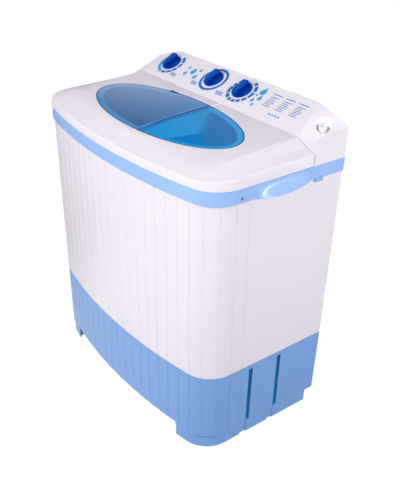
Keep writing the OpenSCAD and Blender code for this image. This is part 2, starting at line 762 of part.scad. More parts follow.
// an ear on each side of a hinge post
module ears(x) {
    for (side = [-1, 1]) translate([x + side * (post_w / 2 + 0.3 + ear_w / 2), hinge_y, hinge_z]) {
        rotate([0, 90, 0]) translate([0, 0, -ear_w / 2]) cylinder(h = ear_w, r = hinge_roll - 0.5);
        translate([-ear_w / 2, -hinge_roll + 0.5, 0]) cube([ear_w, 2 * hinge_roll - 2, 5]);
    }
}

module lid_frame(x0, x1, post_list) {
    difference() {
        union() {
            difference() {
                intersection() {
                    lid_outside();
                    lid_slab(x0, x1, 0);
                }
                intersection() {
                    lid_inside();
                    lid_slab(x0 + (x0 > -half_w ? lid_t : -1), x1 - (x1 < half_w ? lid_t : -1), lid_t);
                }
                // the wall along the split stays clear of the deck
                translate([split_x - 10, front_y + lid_t + 3, top_z - 5]) cube([20, body_d, deck_t + 6.5]);
                // the back edge is rolled: no wall below the hinge line, and none on the deck in the facets
                for (cut = [[flat_x, hinge_z - 9], [half_w - 6, top_z + 20]])
                    translate([-cut[0], hinge_y + 2, top_z - 5]) cube([2 * cut[0], 20, cut[1] - top_z + 5]);
            }
            // thick rim round the window
            intersection() {
                on_lid_top() translate([0, 0, -8]) oval(3, 7.9);
                lid_slab(x0, x1, 8);
            }
            intersection() {
                union() for (x = post_list) ears(x);
                lid_outside();
            }
        }
        on_lid_top() translate([0, 0, -rebate_t]) oval(0.4, 20);
        intersection() {
            on_lid_top() translate([0, 0, -20]) oval(-window_ledge, 40);
            lid_slab(x0 + (x0 > -half_w ? window_ledge : 0), x1 - (x1 < half_w ? window_ledge : 0), 0);
        }
        for (x = post_list) {
            translate([x - post_w / 2 - 0.3, hinge_y - 5.5, top_z - 5])
                cube([post_w + 0.6, 30, hinge_z + 4.6 - top_z + 5]);
            translate([x - 20, hinge_y, hinge_z]) rotate([0, 90, 0]) cylinder(h = 40, r = hinge_pin_r + fit);
        }
        // chamfer of the rolled edge
        translate([0, hinge_y, hinge_z]) rotate([-45, 0, 0]) translate([-half_w - 10, -20, hinge_roll * 1.17])
            cube([body_w + 20, 40, 20]);
    }
}

module pane(x0, x1) {
    intersection() {
        on_lid_top() translate([0, 0, -rebate_t + 0.15]) oval(0, window_t);
        lid_slab(x0, x1, 0);
    }
}

wash_lid_x = [-half_w - 1, split_x - split_gap / 2];
spin_lid_x = [split_x + split_gap / 2, half_w + 1];
// The finger pull is a tab of the pane that runs past the oval into the lid, with a shallow hollow in it
pull_x = -108;
pull_w = 36;
pull_y = [window_ry - 20, window_ry - 5];
module pull_box(less, low, h) {
    on_lid_top() translate([pull_x - window_x - pull_w / 2 + less, pull_y[0], low])
        cube([pull_w - 2 * less, pull_y[1] - pull_y[0] - less, h]);
}
module wash_lid() {
    color(white) difference() {
        lid_frame(wash_lid_x[0], wash_lid_x[1], [hinge_posts[0], hinge_posts[1]]);
        pull_box(0, -rebate_t, 20);
    }
}
module wash_window() {
    color(pane_blue) difference() {
        union() {
            pane(wash_lid_x[0], wash_lid_x[1]);
            pull_box(0.4, -rebate_t + 0.15, window_t);
        }
        pull_box(2.5, -1.6, 20);
    }
}
module spin_lid() {
    color(white) lid_frame(spin_lid_x[0], spin_lid_x[1], [hinge_posts[2], hinge_posts[3]]);
}
module spin_window() {
    color(pane_blue) pane(spin_lid_x[0], spin_lid_x[1]);
}

// ---- console ----
panel_z = top_z + lid_top_h;
panel_rise = (back_y - console_y) * tan(panel_slope);
console_front = console_y + 0.5;
crease_x = half_w - facet_outer;
flat_x = half_w - facet_outer - facet_inner;
crease_z = mix(top_z + lid_wall_h, panel_z, facet_rise[1]);

// The section of the console at the fraction t of its depth, w inside its outer skin
function console_section(t, w, floor) = let (
        y = mix(console_front + w, back_y - w, t), u = (y - console_y) / console_depth, drop = w / cos(panel_slope),
        side = mix(lid_wall_h, console_side_h, u), top = panel_z + u * panel_rise,
        in_x = mix(flat_x, panel_back_half, u),
        mid_z = mix(crease_z, mix(top_z + side, top, facet_outer / (half_w - in_x)), u))
    [for (p = [[w - half_w, floor], [w - half_w, top_z + side - w], [-crease_x, mid_z - drop], [-in_x, top - drop],
        [in_x, top - drop], [crease_x, mid_z - drop], [half_w - w, top_z + side - w], [half_w - w, floor]])
        [p[0], y, p[1]]];
module console_skin(w, floor) {
    steps = 6;
    sections = [for (i = [0:steps]) console_section(i / steps, w, floor)];
    n = 8;
    cap = [[0, 1, 2], [0, 2, 3], [0, 3, 4], [0, 4, 7], [4, 5, 7], [5, 6, 7]];
    polyhedron(flat(sections), concat([for (i = [0:steps - 1]) each side_faces(n, i, i + 1)],
        cap, [for (f = cap) [f[2] + steps * n, f[1] + steps * n, f[0] + steps * n]]), convexity = 6);
}
// children on the sloping panel: x across, y up the slope from its front edge, z out of it
module on_panel(x, up) {
    translate([x, console_y, panel_z]) rotate([panel_slope, 0, 0]) translate([0, up, 0]) children();
}
knob_stem_r = 4;
knob_hole_r = 6;
cup_floor_z = top_z + 45;
cup_wall = 2;
nozzle_seat_r = inlet_nozzle_r + 1.5;

module console() {
    color(white) difference() {
        console_skin(0, top_z);
        console_skin(console_wall, top_z - 5);
        // the front wall stands on the deck, the side walls on the band
        translate([deck_inset - 0.5 - half_w, console_y - 5, top_z - 1])
            cube([body_w - 2 * deck_inset + 1, 5 + console_front - console_y + console_wall + 1, deck_t + 1.2]);
        translate([inlet_x, inlet_y, cup_floor_z - cup_wall]) cylinder(h = 80, r = inlet_cup_r + cup_wall);
        for (x = [wash_knob_x, selector_knob_x, spin_knob_x]) on_panel(x, knob_up)
            translate([0, 0, -10]) cylinder(h = 20, r = knob_hole_r);
    }
}

// The cup closes a round hole in the console, flush with its skin
module inlet_cup() {
    color(white) difference() {
        intersection() {
            console_skin(0, top_z);
            translate([inlet_x, inlet_y, cup_floor_z - cup_wall]) cylinder(h = 80, r = inlet_cup_r + cup_wall);
        }
        translate([inlet_x, inlet_y, cup_floor_z]) cylinder(h = 80, r = inlet_cup_r);
        translate([inlet_x, inlet_y, cup_floor_z - 10]) cylinder(h = 20, r = nozzle_seat_r + fit);
    }
}

// ---- timers, switch, buzzer behind the panel ----
timer_r = 24;
timer_d = 28;
module panel_device(x) {
    on_panel(x, knob_up) translate([0, 0, -console_wall - timer_d]) difference() {
        union() {
            children();
            translate([-30, -8, timer_d - 3]) cube([60, 16, 3]);
        }
        translate([0, 0, timer_d - 14]) cylinder(h = 20, r = knob_stem_r + fit);
        for (side = [-1, 1]) translate([side * 27, 0, 0]) cylinder(h = 40, r = 1.7);
    }
}
module timer_case() {
    cylinder(h = timer_d - 2, r = timer_r);
    ring_of(3, timer_r - 5) cylinder(h = timer_d - 1, r = 3);
}
module wash_timer() {
    color(dark) panel_device(wash_knob_x) timer_case();
}
module spin_timer() {
    color(dark) panel_device(spin_knob_x) timer_case();
}
module selector_switch() {
    color(dark) panel_device(selector_knob_x) translate([-16, -16, 6]) cube([32, 32, timer_d - 8]);
}
buzzer_r = 14;
module buzzer() {
    color(rubber) on_panel(-155, 50) translate([0, 0, -console_wall - 12]) difference() {
        cylinder(h = 12, r = buzzer_r);
        translate([0, 0, -1]) cylinder(h = 3, r = 3);
    }
}
module lid_switch() {
    color(dark) difference() {
        translate([switch_x, console_front + console_wall, top_z + 20]) cube([36, 16, 22]);
        for (x = [8, 28]) translate([switch_x + x, console_front, top_z + 31]) rotate([-90, 0, 0])
            cylinder(h = 40, r = 1.6);
    }
}

// ---- knobs ----
knob_gap = 0.6;
knob_skirt = 9;
knob_edge = 3.5;
scoop_r = 20;
grip_front_w = 8;
grip_ends = [[8 - knob_r, grip_front_w / 2], [knob_r - grip_w / 2 - 3, grip_w / 2]];
grip_lean = asin((grip_w - grip_front_w) / 2 / (grip_ends[1][0] - grip_ends[0][0]));

module knob() {
    // a low dome with a round edge
    difference() {
        union() {
            rotate_extrude() polygon(concat([[0, 0], [knob_r, 0]],
                [for (a = [0:15:90]) [knob_r * cos(a), knob_edge + (knob_skirt - knob_edge) * sin(a)]]));
            grip();
        }
        translate([0, 0, -1]) tube(knob_edge + 1, knob_r - 2.5, knob_stem_r + 2.5);
    }
    translate([0, 0, -knob_gap - console_wall - 12]) cylinder(h = console_wall + 14, r = knob_stem_r);
}
function grip_arc(e, a, b) = [for (i = [0:8]) let (t = mix(a, b, i / 8), r = e[1] + 2)
    [r * cos(t), e[0] + r * sin(t)]];
// A fin with round ends, wider at the back, with hollowed flanks and a sloping top
module grip() {
    difference() {
        translate([0, 0, 1]) linear_extrude(height = knob_h) polygon(concat(
            grip_arc(grip_ends[0], 180 + grip_lean, 360 - grip_lean),
            grip_arc(grip_ends[1], -grip_lean, 180 + grip_lean)));
        for (side = [-1, 1]) rotate([0, 0, -side * grip_lean])
            translate([side * ((grip_w + grip_front_w) / 4 - 2 + scoop_r), 0, knob_h + 1])
                rotate([90, 0, 0]) cylinder(h = 90, r = scoop_r, center = true);
        rotate([90, 0, 90]) translate([0, 0, -40]) linear_extrude(height = 80) polygon([[-40, knob_h - 12],
            [-knob_r, knob_h - 12], [5 - knob_r, knob_h - 6], [12 - knob_r, knob_h - 2.5],
            [20 - knob_r, knob_h - 0.5], [knob_r - 14, knob_h], [knob_r - 5, knob_h - 2],
            [knob_r, knob_h - 8], [40, knob_h - 12], [40, 60], [-40, 60]]);
    }
}
module knob_on(x) {
    on_panel(x, knob_up) translate([0, 0, knob_gap]) knob();
}
module wash_timer_knob() {
    color(deep_blue) knob_on(wash_knob_x);
}
module selector_knob() {
    color(deep_blue) knob_on(selector_knob_x);
}
module spin_timer_knob() {
    color(deep_blue) knob_on(spin_knob_x);
}

// ---- water inlet ----
nozzle_top = cup_floor_z + 20;
nozzle_low = top_z + 23;
nozzle_bore = 6.5;
module inlet_nozzle() {
    color(white) translate([inlet_x, inlet_y, 0]) difference() {
        union() {
            translate([0, 0, nozzle_low]) cylinder(h = nozzle_top - nozzle_low - 1, r = inlet_nozzle_r);
            translate([0, 0, nozzle_top - 1]) cylinder(h = 1, r1 = inlet_nozzle_r, r2 = inlet_nozzle_r - 0.8);
            // flange under the cup and shoulder through its floor
            translate([0, 0, cup_floor_z - cup_wall - 2.5]) cylinder(h = 2.5, r = nozzle_seat_r + 2);
            translate([0, 0, cup_floor_z - cup_wall - 1]) cylinder(h = cup_wall + 1, r = nozzle_seat_r);
        }
        translate([0, 0, nozzle_low - 8]) cylinder(h = 60, r = nozzle_bore);
    }
}
pipe_r = 9;
pipe_y = back_y - 28;
pipe_z = nozzle_low - 10.5;
inlet_route = [[inlet_x, inlet_y, nozzle_low], [inlet_x, inlet_y, nozzle_low - 5], [inlet_x - 4, inlet_y, pipe_z + 1.5],
    [inlet_x - 30, inlet_y, pipe_z], [120, pipe_y, pipe_z], [-100, pipe_y, pipe_z], [-150, pipe_y - 2, pipe_z],
    [-180, pipe_y - 20, pipe_z], [-190, pipe_y - 40, pipe_z],
    [-190, console_front + console_wall + 0.3, pipe_z]];
module inlet_pipe() {
    color(white) hose(inlet_route, pipe_r, 12);
}

// ---- wash drive ----
pulley_z = bracket_z - wash_motor_h - pulley_t - 18;
shaft_low = pulley_z - 4;
pulsator_gap = 3;
pulsator_z = wash_floor + pulsator_gap;
housing_r = 22;
module drive_bracket() {
    color(steel) translate([wash_mid[0], wash_mid[1], bracket_z]) difference() {
        union() {
            linear_extrude(height = bracket_t) difference() {
                union() {
                    polygon(round_rect(-bracket_half, bracket_half, -98, 78, 16));
                    polygon(round_rect(-wash_motor_r - 12, wash_motor_r + 12, 40, motor_back + 42, 16));
                }
                for (x = [-1, 1]) translate([x * 74, 10]) circle(r = 24);
            }
            for (x = [-bracket_half, bracket_half - 2.5]) translate([x, -80, -12]) cube([2.5, 142, 12.5]);
        }
        translate([0, 0, -1]) cylinder(h = 20, r = housing_r + 0.3);
        translate([0, motor_back, -1]) cylinder(h = 20, r = 16);
        for (p = bracket_posts) translate([p[0], p[1], -1]) cylinder(h = 20, r = screw_r);
        translate([0, 0, -1]) ring_of(4, housing_r + 9) cylinder(h = 20, r = screw_r);
        translate([0, motor_back, -1]) rotate([0, 0, 45]) ring_of(4, wash_motor_r - 8)
            cylinder(h = 20, r = screw_r);
    }
}
module bracket_screws() {
    color(steel) for (p = bracket_posts) translate([wash_mid[0] + p[0], wash_mid[1] + p[1], bracket_z]) {
        translate([0, 0, -2.5]) cylinder(h = 2.5, r1 = 3.5, r2 = 4.5);
        cylinder(h = bracket_gap - 4, r = screw_r);
    }
}
module wash_bearing_housing() {
    color("silver") translate([wash_mid[0], wash_mid[1], 0]) difference() {
        union() {
            translate([0, 0, bracket_z - 74]) cylinder(h = 74 + bracket_gap, r = housing_r);
            translate([0, 0, bracket_z - 3]) cylinder(h = 3, r = housing_r + 16);
            translate([0, 0, bracket_z + bracket_gap - 1]) cylinder(h = tub_wall + 1, r = bearing_neck_r);
            for (a = [45:90:315]) rotate([0, 0, a]) translate([housing_r - 2, -2, bracket_z - 40])
                cube([14, 4, 38]);
        }
        translate([0, 0, bracket_z - 80]) cylinder(h = 120, r = wash_shaft_r + fit);
        translate([0, 0, bracket_z - 10]) ring_of(4, housing_r + 9) cylinder(h = 20, r = screw_r);
    }
}
module wash_shaft_seal() {
    color(rubber) translate([wash_mid[0], wash_mid[1], wash_floor]) rotate_extrude() polygon([
        [wash_shaft_r + fit, 0.2], [bearing_neck_r + 3, 0.2], [bearing_neck_r + 3, 1.6], [wash_shaft_r + 3, 2.4],
        [wash_shaft_r + fit, 2.4]]);
}
vane_count = 6;
module pulsator() {
    color(sky) translate([wash_mid[0], wash_mid[1], pulsator_z]) difference() {
        union() {
            rotate_extrude() polygon([[0, 0], [pulsator_r - 4, 0], [pulsator_r, 4], [pulsator_r, pulsator_h],
                [pulsator_r - 3, pulsator_h], [pulsator_r - 8, 7], [40, 8], [28, 16], [18, 24], [0, 26]]);
            for (i = [0:vane_count - 1]) rotate([0, 0, 360 * i / vane_count]) translate([20, 0, 6])
                rotate([0, 86, 0]) cylinder(h = pulsator_r - 28, r1 = 13, r2 = 8);
        }
        translate([0, 0, -20]) cylinder(h = 20 + eps, r = pulsator_r);
        translate([0, 0, -1]) cylinder(h = 19, r = wash_shaft_r);
        translate([0, 0, -1]) cylinder(h = 60, r = 3);
        translate([0, 0, 22]) cylinder(h = 10, r = 6);
        translate([0, 0, 0]) for (i = [0:vane_count - 1]) rotate([0, 0, 360 * (i + 0.5) / vane_count])
            for (r = [55, 75, 95]) translate([r, 0, -1]) cylinder(h = 20, r = 3.5);
    }
}
module pulsator_screw() {
    color(steel) translate([wash_mid[0], wash_mid[1], pulsator_z]) difference() {
        union() {
            translate([0, 0, 22]) cylinder(h = 3, r = 5.8);
            translate([0, 0, 4]) cylinder(h = 18.5, r = 3);
        }
        translate([-3, -0.6, 23.5]) cube([6, 1.2, 4]);
    }
}
module pulsator_shaft() {
    color("silver") translate([wash_mid[0], wash_mid[1], 0]) difference() {
        translate([0, 0, shaft_low]) cylinder(h = pulsator_z + 18 - shaft_low, r = wash_shaft_r);
        translate([0, 0, pulsator_z + 3]) cylinder(h = 30, r = 3);
    }
}
module belt_pulley(r, bore, hub_r) {
    rim = r - belt_groove - 4;
    web_z = pulley_t / 2 + 2;
    spoked = rim > hub_r + 10;
    rim_side = [[bore, 0], [r, 0], [r, 2], [r - belt_groove, 5], [r - belt_groove, pulley_t - 5], [r, pulley_t - 2],
        [r, pulley_t]];
    web = spoked ? [[rim, pulley_t], [rim - 1, web_z], [hub_r + 1, web_z]] : [[hub_r, pulley_t]];
    difference() {
        rotate_extrude() polygon(concat(rim_side, web, [[hub_r, pulley_t + 3], [bore, pulley_t + 3]]));
        if (spoked) translate([0, 0, -1]) ring_of(6, (rim + hub_r) / 2) cylinder(h = 40, r = (rim - hub_r) / 2 - 6);
    }
}
module big_pulley() {
    color(dark) translate([wash_mid[0], wash_mid[1], pulley_z]) belt_pulley(big_pulley_r, wash_shaft_r, 16);
}
motor_at = [wash_mid[0], wash_mid[1] + motor_back];
motor_shaft_r = 5;
motor_shaft_in = 50;
module wash_motor() {
    can_z = bracket_z - wash_motor_h;
    color(steel) translate([motor_at[0], motor_at[1], 0]) difference() {
        union() {
            translate([0, 0, can_z + 12]) cylinder(h = wash_motor_h - 24, r = wash_motor_r);
            translate([0, 0, can_z + 6]) cylinder(h = 6, r1 = wash_motor_r - 8, r2 = wash_motor_r);
            translate([0, 0, bracket_z - 12]) cylinder(h = 12, r1 = wash_motor_r, r2 = wash_motor_r - 4);
            translate([0, 0, can_z]) cylinder(h = 7, r = 14);
        }
        translate([0, 0, can_z - 1]) cylinder(h = 60, r = motor_shaft_r + fit);
        for (i = [0:11]) rotate([0, 0, 30 * i]) translate([wash_motor_r - 3, -4, can_z + 22]) cube([10, 8, 40]);
        translate([0, 0, bracket_z - 8]) rotate([0, 0, 45]) ring_of(4, wash_motor_r - 8)
            cylinder(h = 20, r = screw_r);
    }
}
module motor_pulley() {
    color(dark) translate([motor_at[0], motor_at[1], 0]) {
        translate([0, 0, pulley_z]) belt_pulley(small_pulley_r, motor_shaft_r - 0.5, 10.5);
        translate([0, 0, shaft_low]) cylinder(h = bracket_z - wash_motor_h + motor_shaft_in - shaft_low, r = motor_shaft_r);
    }
}
belt_clear = 0.4;
belt_t = 5;
module belt_path(extra) {
    hull() {
        translate(wash_mid) circle(r = big_pulley_r - belt_groove + extra, $fn = 64);
        translate(motor_at) circle(r = small_pulley_r - belt_groove + extra, $fn = 32);
    }
}
module drive_belt() {
    color(rubber) translate([0, 0, pulley_z + 5.4]) linear_extrude(height = pulley_t - 10.8) difference() {
        belt_path(belt_clear + belt_t);
        belt_path(belt_clear);
    }
}
capacitor_at = [60, back_y - 88];
module capacitor() {
    color("silver") translate([capacitor_at[0], capacitor_at[1], floor_z + sole_t]) difference() {
        union() {
            cylinder(h = 70, r = 20);
            translate([0, 0, 70]) cylinder(h = 4, r = 18);
            for (x = [-6, 6]) translate([x - 1, -3, 74]) cube([1, 6, 8]);
            translate([-28, -6, 0]) cube([56, 12, 3]);
        }
        for (x = [-24, 24]) translate([x, 0, -1]) cylinder(h = 6, r = screw_r);
    }
}

// ---- spin drive ----
spider_r = 84;
spring_low = floor_z + sole_t + 3;
spring_len = 34;
spider_z = spring_low + spring_len;
spider_t = 3;
spin_motor_z = spider_z + spider_t;
drum_z = spin_motor_z + spin_motor_h + 8;
drum_h = 22;
spring_wire = 1.6;
spring_turns = 4;
module spring_post() {
    cylinder(h = spring_low - floor_z, r = spring_r + 3);
    cylinder(h = spring_low - floor_z + 14, r1 = spring_r - spring_wire - 1, r2 = spring_r - spring_wire - 3);
}
module motor_springs() {
    steps = 12 * spring_turns;
    rise = (spring_len - 2 * spring_wire - 0.2) / steps;
    coil_r = spring_r - 0.5;
    coil = [for (i = [0:steps]) [coil_r * cos(30 * i), coil_r * sin(30 * i), rise * i + spring_wire + 0.1]];
    color(steel) translate([spin_x, tub_y, spring_low]) ring_of(3, spider_r) hose(coil, spring_wire, 6);
}
module motor_spider() {
    color(steel) translate([spin_x, tub_y, spider_z]) difference() {
        union() {
            cylinder(h = spider_t, r = spin_motor_r - 2);
            for (a = [0, 120, 240]) rotate([0, 0, a]) translate([0, -spring_r - 3, 0])
                cube([spider_r, 2 * spring_r + 6, spider_t]);
            ring_of(3, spider_r) cylinder(h = spider_t, r = spring_r + 3);
        }
        translate([0, 0, -1]) cylinder(h = 10, r = 20);
        translate([0, 0, -1]) ring_of(3, spider_r) cylinder(h = 10, r = 4);
    }
}
module spin_motor() {
    color(dark) translate([spin_x, tub_y, spin_motor_z]) difference() {
        union() {
            cylinder(h = 10, r1 = spin_motor_r - 6, r2 = spin_motor_r);
            translate([0, 0, 10]) cylinder(h = spin_motor_h - 20, r = spin_motor_r);
            translate([0, 0, spin_motor_h - 10]) cylinder(h = 10, r1 = spin_motor_r, r2 = spin_motor_r - 8);
        }
        translate([0, 0, 20]) cylinder(h = spin_motor_h, r = spin_shaft_r + fit);
        for (a = [0:30:330]) rotate([0, 0, a]) translate([spin_motor_r - 3, -5, 22])
            cube([10, 10, spin_motor_h - 44]);
    }
}
module spin_shaft() {
    top = spin_floor + 36;
    low = spin_motor_z + 26;
    color("silver") translate([spin_x, tub_y, low]) cylinder(h = top - low, r = spin_shaft_r);
}
module brake_drum() {
    color(dark) translate([spin_x, tub_y, drum_z]) rotate_extrude() polygon([[spin_shaft_r, 0], [20, 0], [22, 6],
        [drum_r - 4, 6], [drum_r - 4, 0], [drum_r, 0], [drum_r, drum_h], [drum_r - 4, drum_h], [drum_r - 4, 10],
        [18, 10], [16, drum_h + 6], [spin_shaft_r, drum_h + 6]]);
}
// A bracket on the motor's top carries the lever's pin. The lever is drawn with its shoe on the drum and
// turned back to where the shut lid holds it.
plate_z = spin_motor_z + spin_motor_h;
plate_t = 2.5;
pin_at = [-62, drum_r + 16];
pin_r = 4;
lever_z = drum_z + 6;
lever_t = 6;
lever_end = 34;
shoe_gap = 0.3;
function lever_point(p, turn) = let (d = p - pin_at)
    pin_at + [d[0] * cos(turn) - d[1] * sin(turn), d[0] * sin(turn) + d[1] * cos(turn)];
module brake_bracket() {
    reach = atan2(pin_at[1], pin_at[0]);
    color(steel) translate([spin_x, tub_y, plate_z]) {
        difference() {
            union() {
                cylinder(h = plate_t, r = spin_motor_r - 10);
                rotate([0, 0, reach]) translate([0, -12, 0]) cube([norm(pin_at), 24, plate_t]);
                translate(pin_at) cylinder(h = plate_t, r = 12);
            }
            translate([0, 0, -1]) cylinder(h = 10, r = 24);
            translate([0, 0, -1]) ring_of(4, spin_motor_r - 18) cylinder(h = 10, r = screw_r);
        }
        translate(pin_at) {
            cylinder(h = lever_z + lever_t + 2 - plate_z, r = pin_r);
            translate([0, 0, lever_z + lever_t + 0.3 - plate_z]) cylinder(h = 2, r = pin_r + 3);
        }
    }
}
module brake_lever() {
    color(steel) translate([spin_x + pin_at[0], tub_y + pin_at[1], lever_z]) rotate([0, 0, brake_turn])
        translate(-pin_at) {
        difference() {
            union() {
                translate([pin_at[0], pin_at[1] - 4, 0]) cube([lever_end - pin_at[0], 8, lever_t]);
                translate(pin_at) cylinder(h = lever_t, r = 8);
            }
            translate([pin_at[0], pin_at[1], -1]) cylinder(h = 20, r = pin_r + fit);
        }
        difference() {
            translate([-16, drum_r - 8, -1]) cube([38, pin_at[1] - drum_r + 6, lever_t + 2]);
            translate([0, 0, -2]) cylinder(h = lever_t + 4, r = drum_r + shoe_gap);
        }
    }
}
// A coil round the pin, with a leg behind the lever's arm
brake_wire = 0.8;
module brake_spring() {
    coil_r = pin_r + brake_wire + 0.7;
    low = plate_z + plate_t + brake_wire + 0.1;
    rise = (lever_z - 0.3 - brake_wire - low) / 36;
    leg = [for (x = [9, 13, 32]) lever_point(pin_at + [x, 4.3 + brake_wire], brake_turn)];
    coil = [for (i = [0:36]) [pin_at[0] + coil_r * cos(30 * i + 90), pin_at[1] + coil_r * sin(30 * i + 90),
        low + rise * i]];
    color(steel) translate([spin_x, tub_y, 0]) hose(concat(coil, [[leg[0][0], leg[0][1], lever_z - 1.3],
        [leg[1][0], leg[1][1], lever_z + 3], [leg[2][0], leg[2][1], lever_z + 3]]), brake_wire, 6);
}
cable_r = 2;
cable_x = switch_x + 18;
cable_end = [spin_x, tub_y] + lever_point([lever_end - 6, pin_at[1] + 4.3], brake_turn);
cable_route = [[cable_x, console_y + 14, top_z + 19.6], [cable_x, console_y + 14, top_z + 16],
    [cable_x, console_y + 17, top_z + 12],
    [cable_x, console_y + 31, top_z + 5], [cable_x, console_y + 34, top_z - 6], [cable_x, console_y + 50, 640],
    [cable_x - 4, console_y + 57, 500], [cable_x - 6, console_y + 57, 380], [cable_x - 4, console_y + 49, 300],
    [cable_x, console_y + 29, 240], [cable_x + 4, console_y - 11, lever_z + 14], [cable_end[0] + 1, cable_end[1] + 30, lever_z + 5],
    [cable_end[0], cable_end[1], lever_z + 3]];
module brake_cable() {
    color(rubber) hose(cable_route, cable_r, 8);
}
seal_z = spin_floor - tub_wall;
bush_r = 13;
module spin_bearing() {
    color("goldenrod") translate([spin_x, tub_y, seal_z - 22]) tube(30, bush_r, spin_shaft_r + fit);
}
module water_seal() {
    color(rubber) translate([spin_x, tub_y, seal_z]) rotate_extrude() polygon([[bush_r, -20], [bush_r + 4, -20],
        [bush_r + 6, -10], [seal_seat_r - 6, -14], [seal_seat_r - 3, -2], [seal_seat_r + 6, -2], [seal_seat_r + 6, 0],
        [seal_seat_r, 0], [seal_seat_r, tub_wall], [seal_seat_r + 4, tub_wall], [seal_seat_r + 4, tub_wall + 2],
        [seal_seat_r - 5, tub_wall + 2], [seal_seat_r - 9, -6], [bush_r + 3, -2], [bush_r + 2, 6], [bush_r, 6]]);
}
basket_z = spin_floor + 14;
basket_hub_h = 26;
module spin_basket() {
    w = basket_wall;
    color(white) translate([spin_x, tub_y, basket_z]) difference() {
        rotate_extrude() polygon([[spin_shaft_r, -2], [16, -2], [16, 2], [basket_r - 14, 0], [basket_r - 4, 4], [basket_r, 14],
            [basket_r, basket_h - 12], [basket_r + 4, basket_h - 10], [basket_r + 4, basket_h], [basket_r - 16, basket_h],
            [basket_r - 16, basket_h - w], [basket_r - w, basket_h - w - 6], [basket_r - w, 16], [basket_r - 16, w + 1],
            [40, w + 3], [20, basket_hub_h], [spin_shaft_r, basket_hub_h]]);
        for (row = [0:9]) for (i = [0:15]) rotate([0, 0, 22.5 * i + (row % 2) * 11.25])
            translate([basket_r - 10, 0, 30 + 30 * row]) rotate([0, 90, 0])
                cylinder(h = 20, r = basket_hole_r, $fn = 24);
        translate([0, 0, -3]) ring_of(8, 78) cylinder(h = 14, r = 5);
    }
}
module press_disc() {
    color(sky) translate([spin_x, tub_y, basket_z + basket_hub_h]) difference() {
        union() {
            cylinder(h = 2.5, r = basket_r - basket_wall - 6);
            tube(8, basket_r - basket_wall - 6, basket_r - basket_wall - 9);
            tube(10, 22, 18);
        }
        for (ring = [1:3]) ring_of(6 * ring, 26 * ring + 8) translate([0, 0, -1]) cylinder(h = 10, r = 5);
    }
}

// ---- drain ----
valve_at = [overflow_x + 16, console_y + 41];
valve_r = 26;
valve_z = wash_floor + 7;
valve_h = 52 + valve_lift;
valve_cap_t = 3;
drain_port_z = wash_floor + 34;
rod_r = 3;
spin_drain_r = 11;
spin_drain_at = [spin_x - 60, tub_y + 96];
module drain_valve_box() {
    color(white) translate([valve_at[0], valve_at[1], valve_z]) difference() {
        union() {
            cylinder(h = valve_h, r = valve_r);
            translate([0, 0, valve_h - 3]) cylinder(h = 3, r = valve_r + 4);
            // inlet from the wash tub
            translate([0, 0, drain_port_z - valve_z]) rotate([90, 0, 0])
                cylinder(h = valve_at[1] - tub_back - tub_wall - 0.5, r = drain_r);
            // outlet
            translate([0, 0, -24]) cylinder(h = 26, r = drain_r - 2);
            translate([valve_r - 3, 0, 4]) rotate([0, 90, 0]) cylinder(h = 24, r = spin_drain_r);
        }
        translate([0, 0, 8]) cylinder(h = valve_h, r = valve_r - 2.5);
        translate([0, 0, -30]) cylinder(h = 60, r = drain_r - 4.5);
        translate([0, 0, drain_port_z - valve_z]) rotate([90, 0, 0]) cylinder(h = 80, r = drain_r - 2.5);
    }
}
// The cap closes the box, guides the rod and backs the spring
module drain_valve_cap() {
    color(white) translate([valve_at[0], valve_at[1], valve_z + valve_h]) difference() {
        union() {
            cylinder(h = valve_cap_t, r = valve_r + 4);
            cylinder(h = valve_cap_t + 5, r = rod_r + 3);
        }
        translate([0, 0, -1]) cylinder(h = 20, r = rod_r + fit);
    }
}
module drain_plunger() {
    color(rubber) translate([valve_at[0], valve_at[1], 0]) {
        translate([0, 0, valve_z + 8.3]) cylinder(h = 6, r1 = drain_r, r2 = drain_r + 3);
        translate([0, 0, valve_z + 14.3]) cylinder(h = 5, r = drain_r + 3);
        translate([0, 0, valve_z + 19]) cylinder(h = deck_top + 24 - valve_z - 19, r = rod_r);
        translate([-6, -2, deck_top + 20]) cube([12, 4, 8]);
    }
}
module valve_spring() {
    turns = 5;
    steps = 12 * turns;
    low = valve_z + 20.5;
    len = valve_h - 20.5;
    coil = [for (i = [0:steps]) [8 * cos(30 * i), 8 * sin(30 * i), low + 1.2 + (len - 2.6) * i / steps]];
    color(steel) translate([valve_at[0], valve_at[1], 0]) hose(coil, 1, 6);
}
spigot_x = half_w - 120;
spigot_z = 95;
spigot_end = back_y - 1;
spigot_start = back_y - 17.7;
drain_route = concat(
    [for (p = [[0, valve_z - 24.3], [0, 230], [1, 150], [6, 115], [25, 99], [50, spigot_z]])
        [valve_at[0] + p[0], valve_at[1], p[1]]],
    [for (p = [[100, 48], [spigot_x - 40, 48], [spigot_x - 18, 45], [spigot_x - 4, 36], [spigot_x, 24],
        [spigot_x, back_y - spigot_start + 0.3]]) [p[0], back_y - p[1], spigot_z]]);
module drain_hose() {
    color(dark) hose(drain_route, drain_r, 12);
}
module drain_spigot() {
    color(white) translate([spigot_x, 0, spigot_z]) rotate([-90, 0, 0]) difference() {
        union() {
            translate([0, 0, spigot_start]) cylinder(h = spigot_end - spigot_start, r = spigot_r);
            translate([0, 0, spigot_start]) cylinder(h = 4, r = spigot_r + 4);
        }
        translate([0, 0, spigot_start - 10]) cylinder(h = 60, r = spigot_r - 2.5);
    }
}
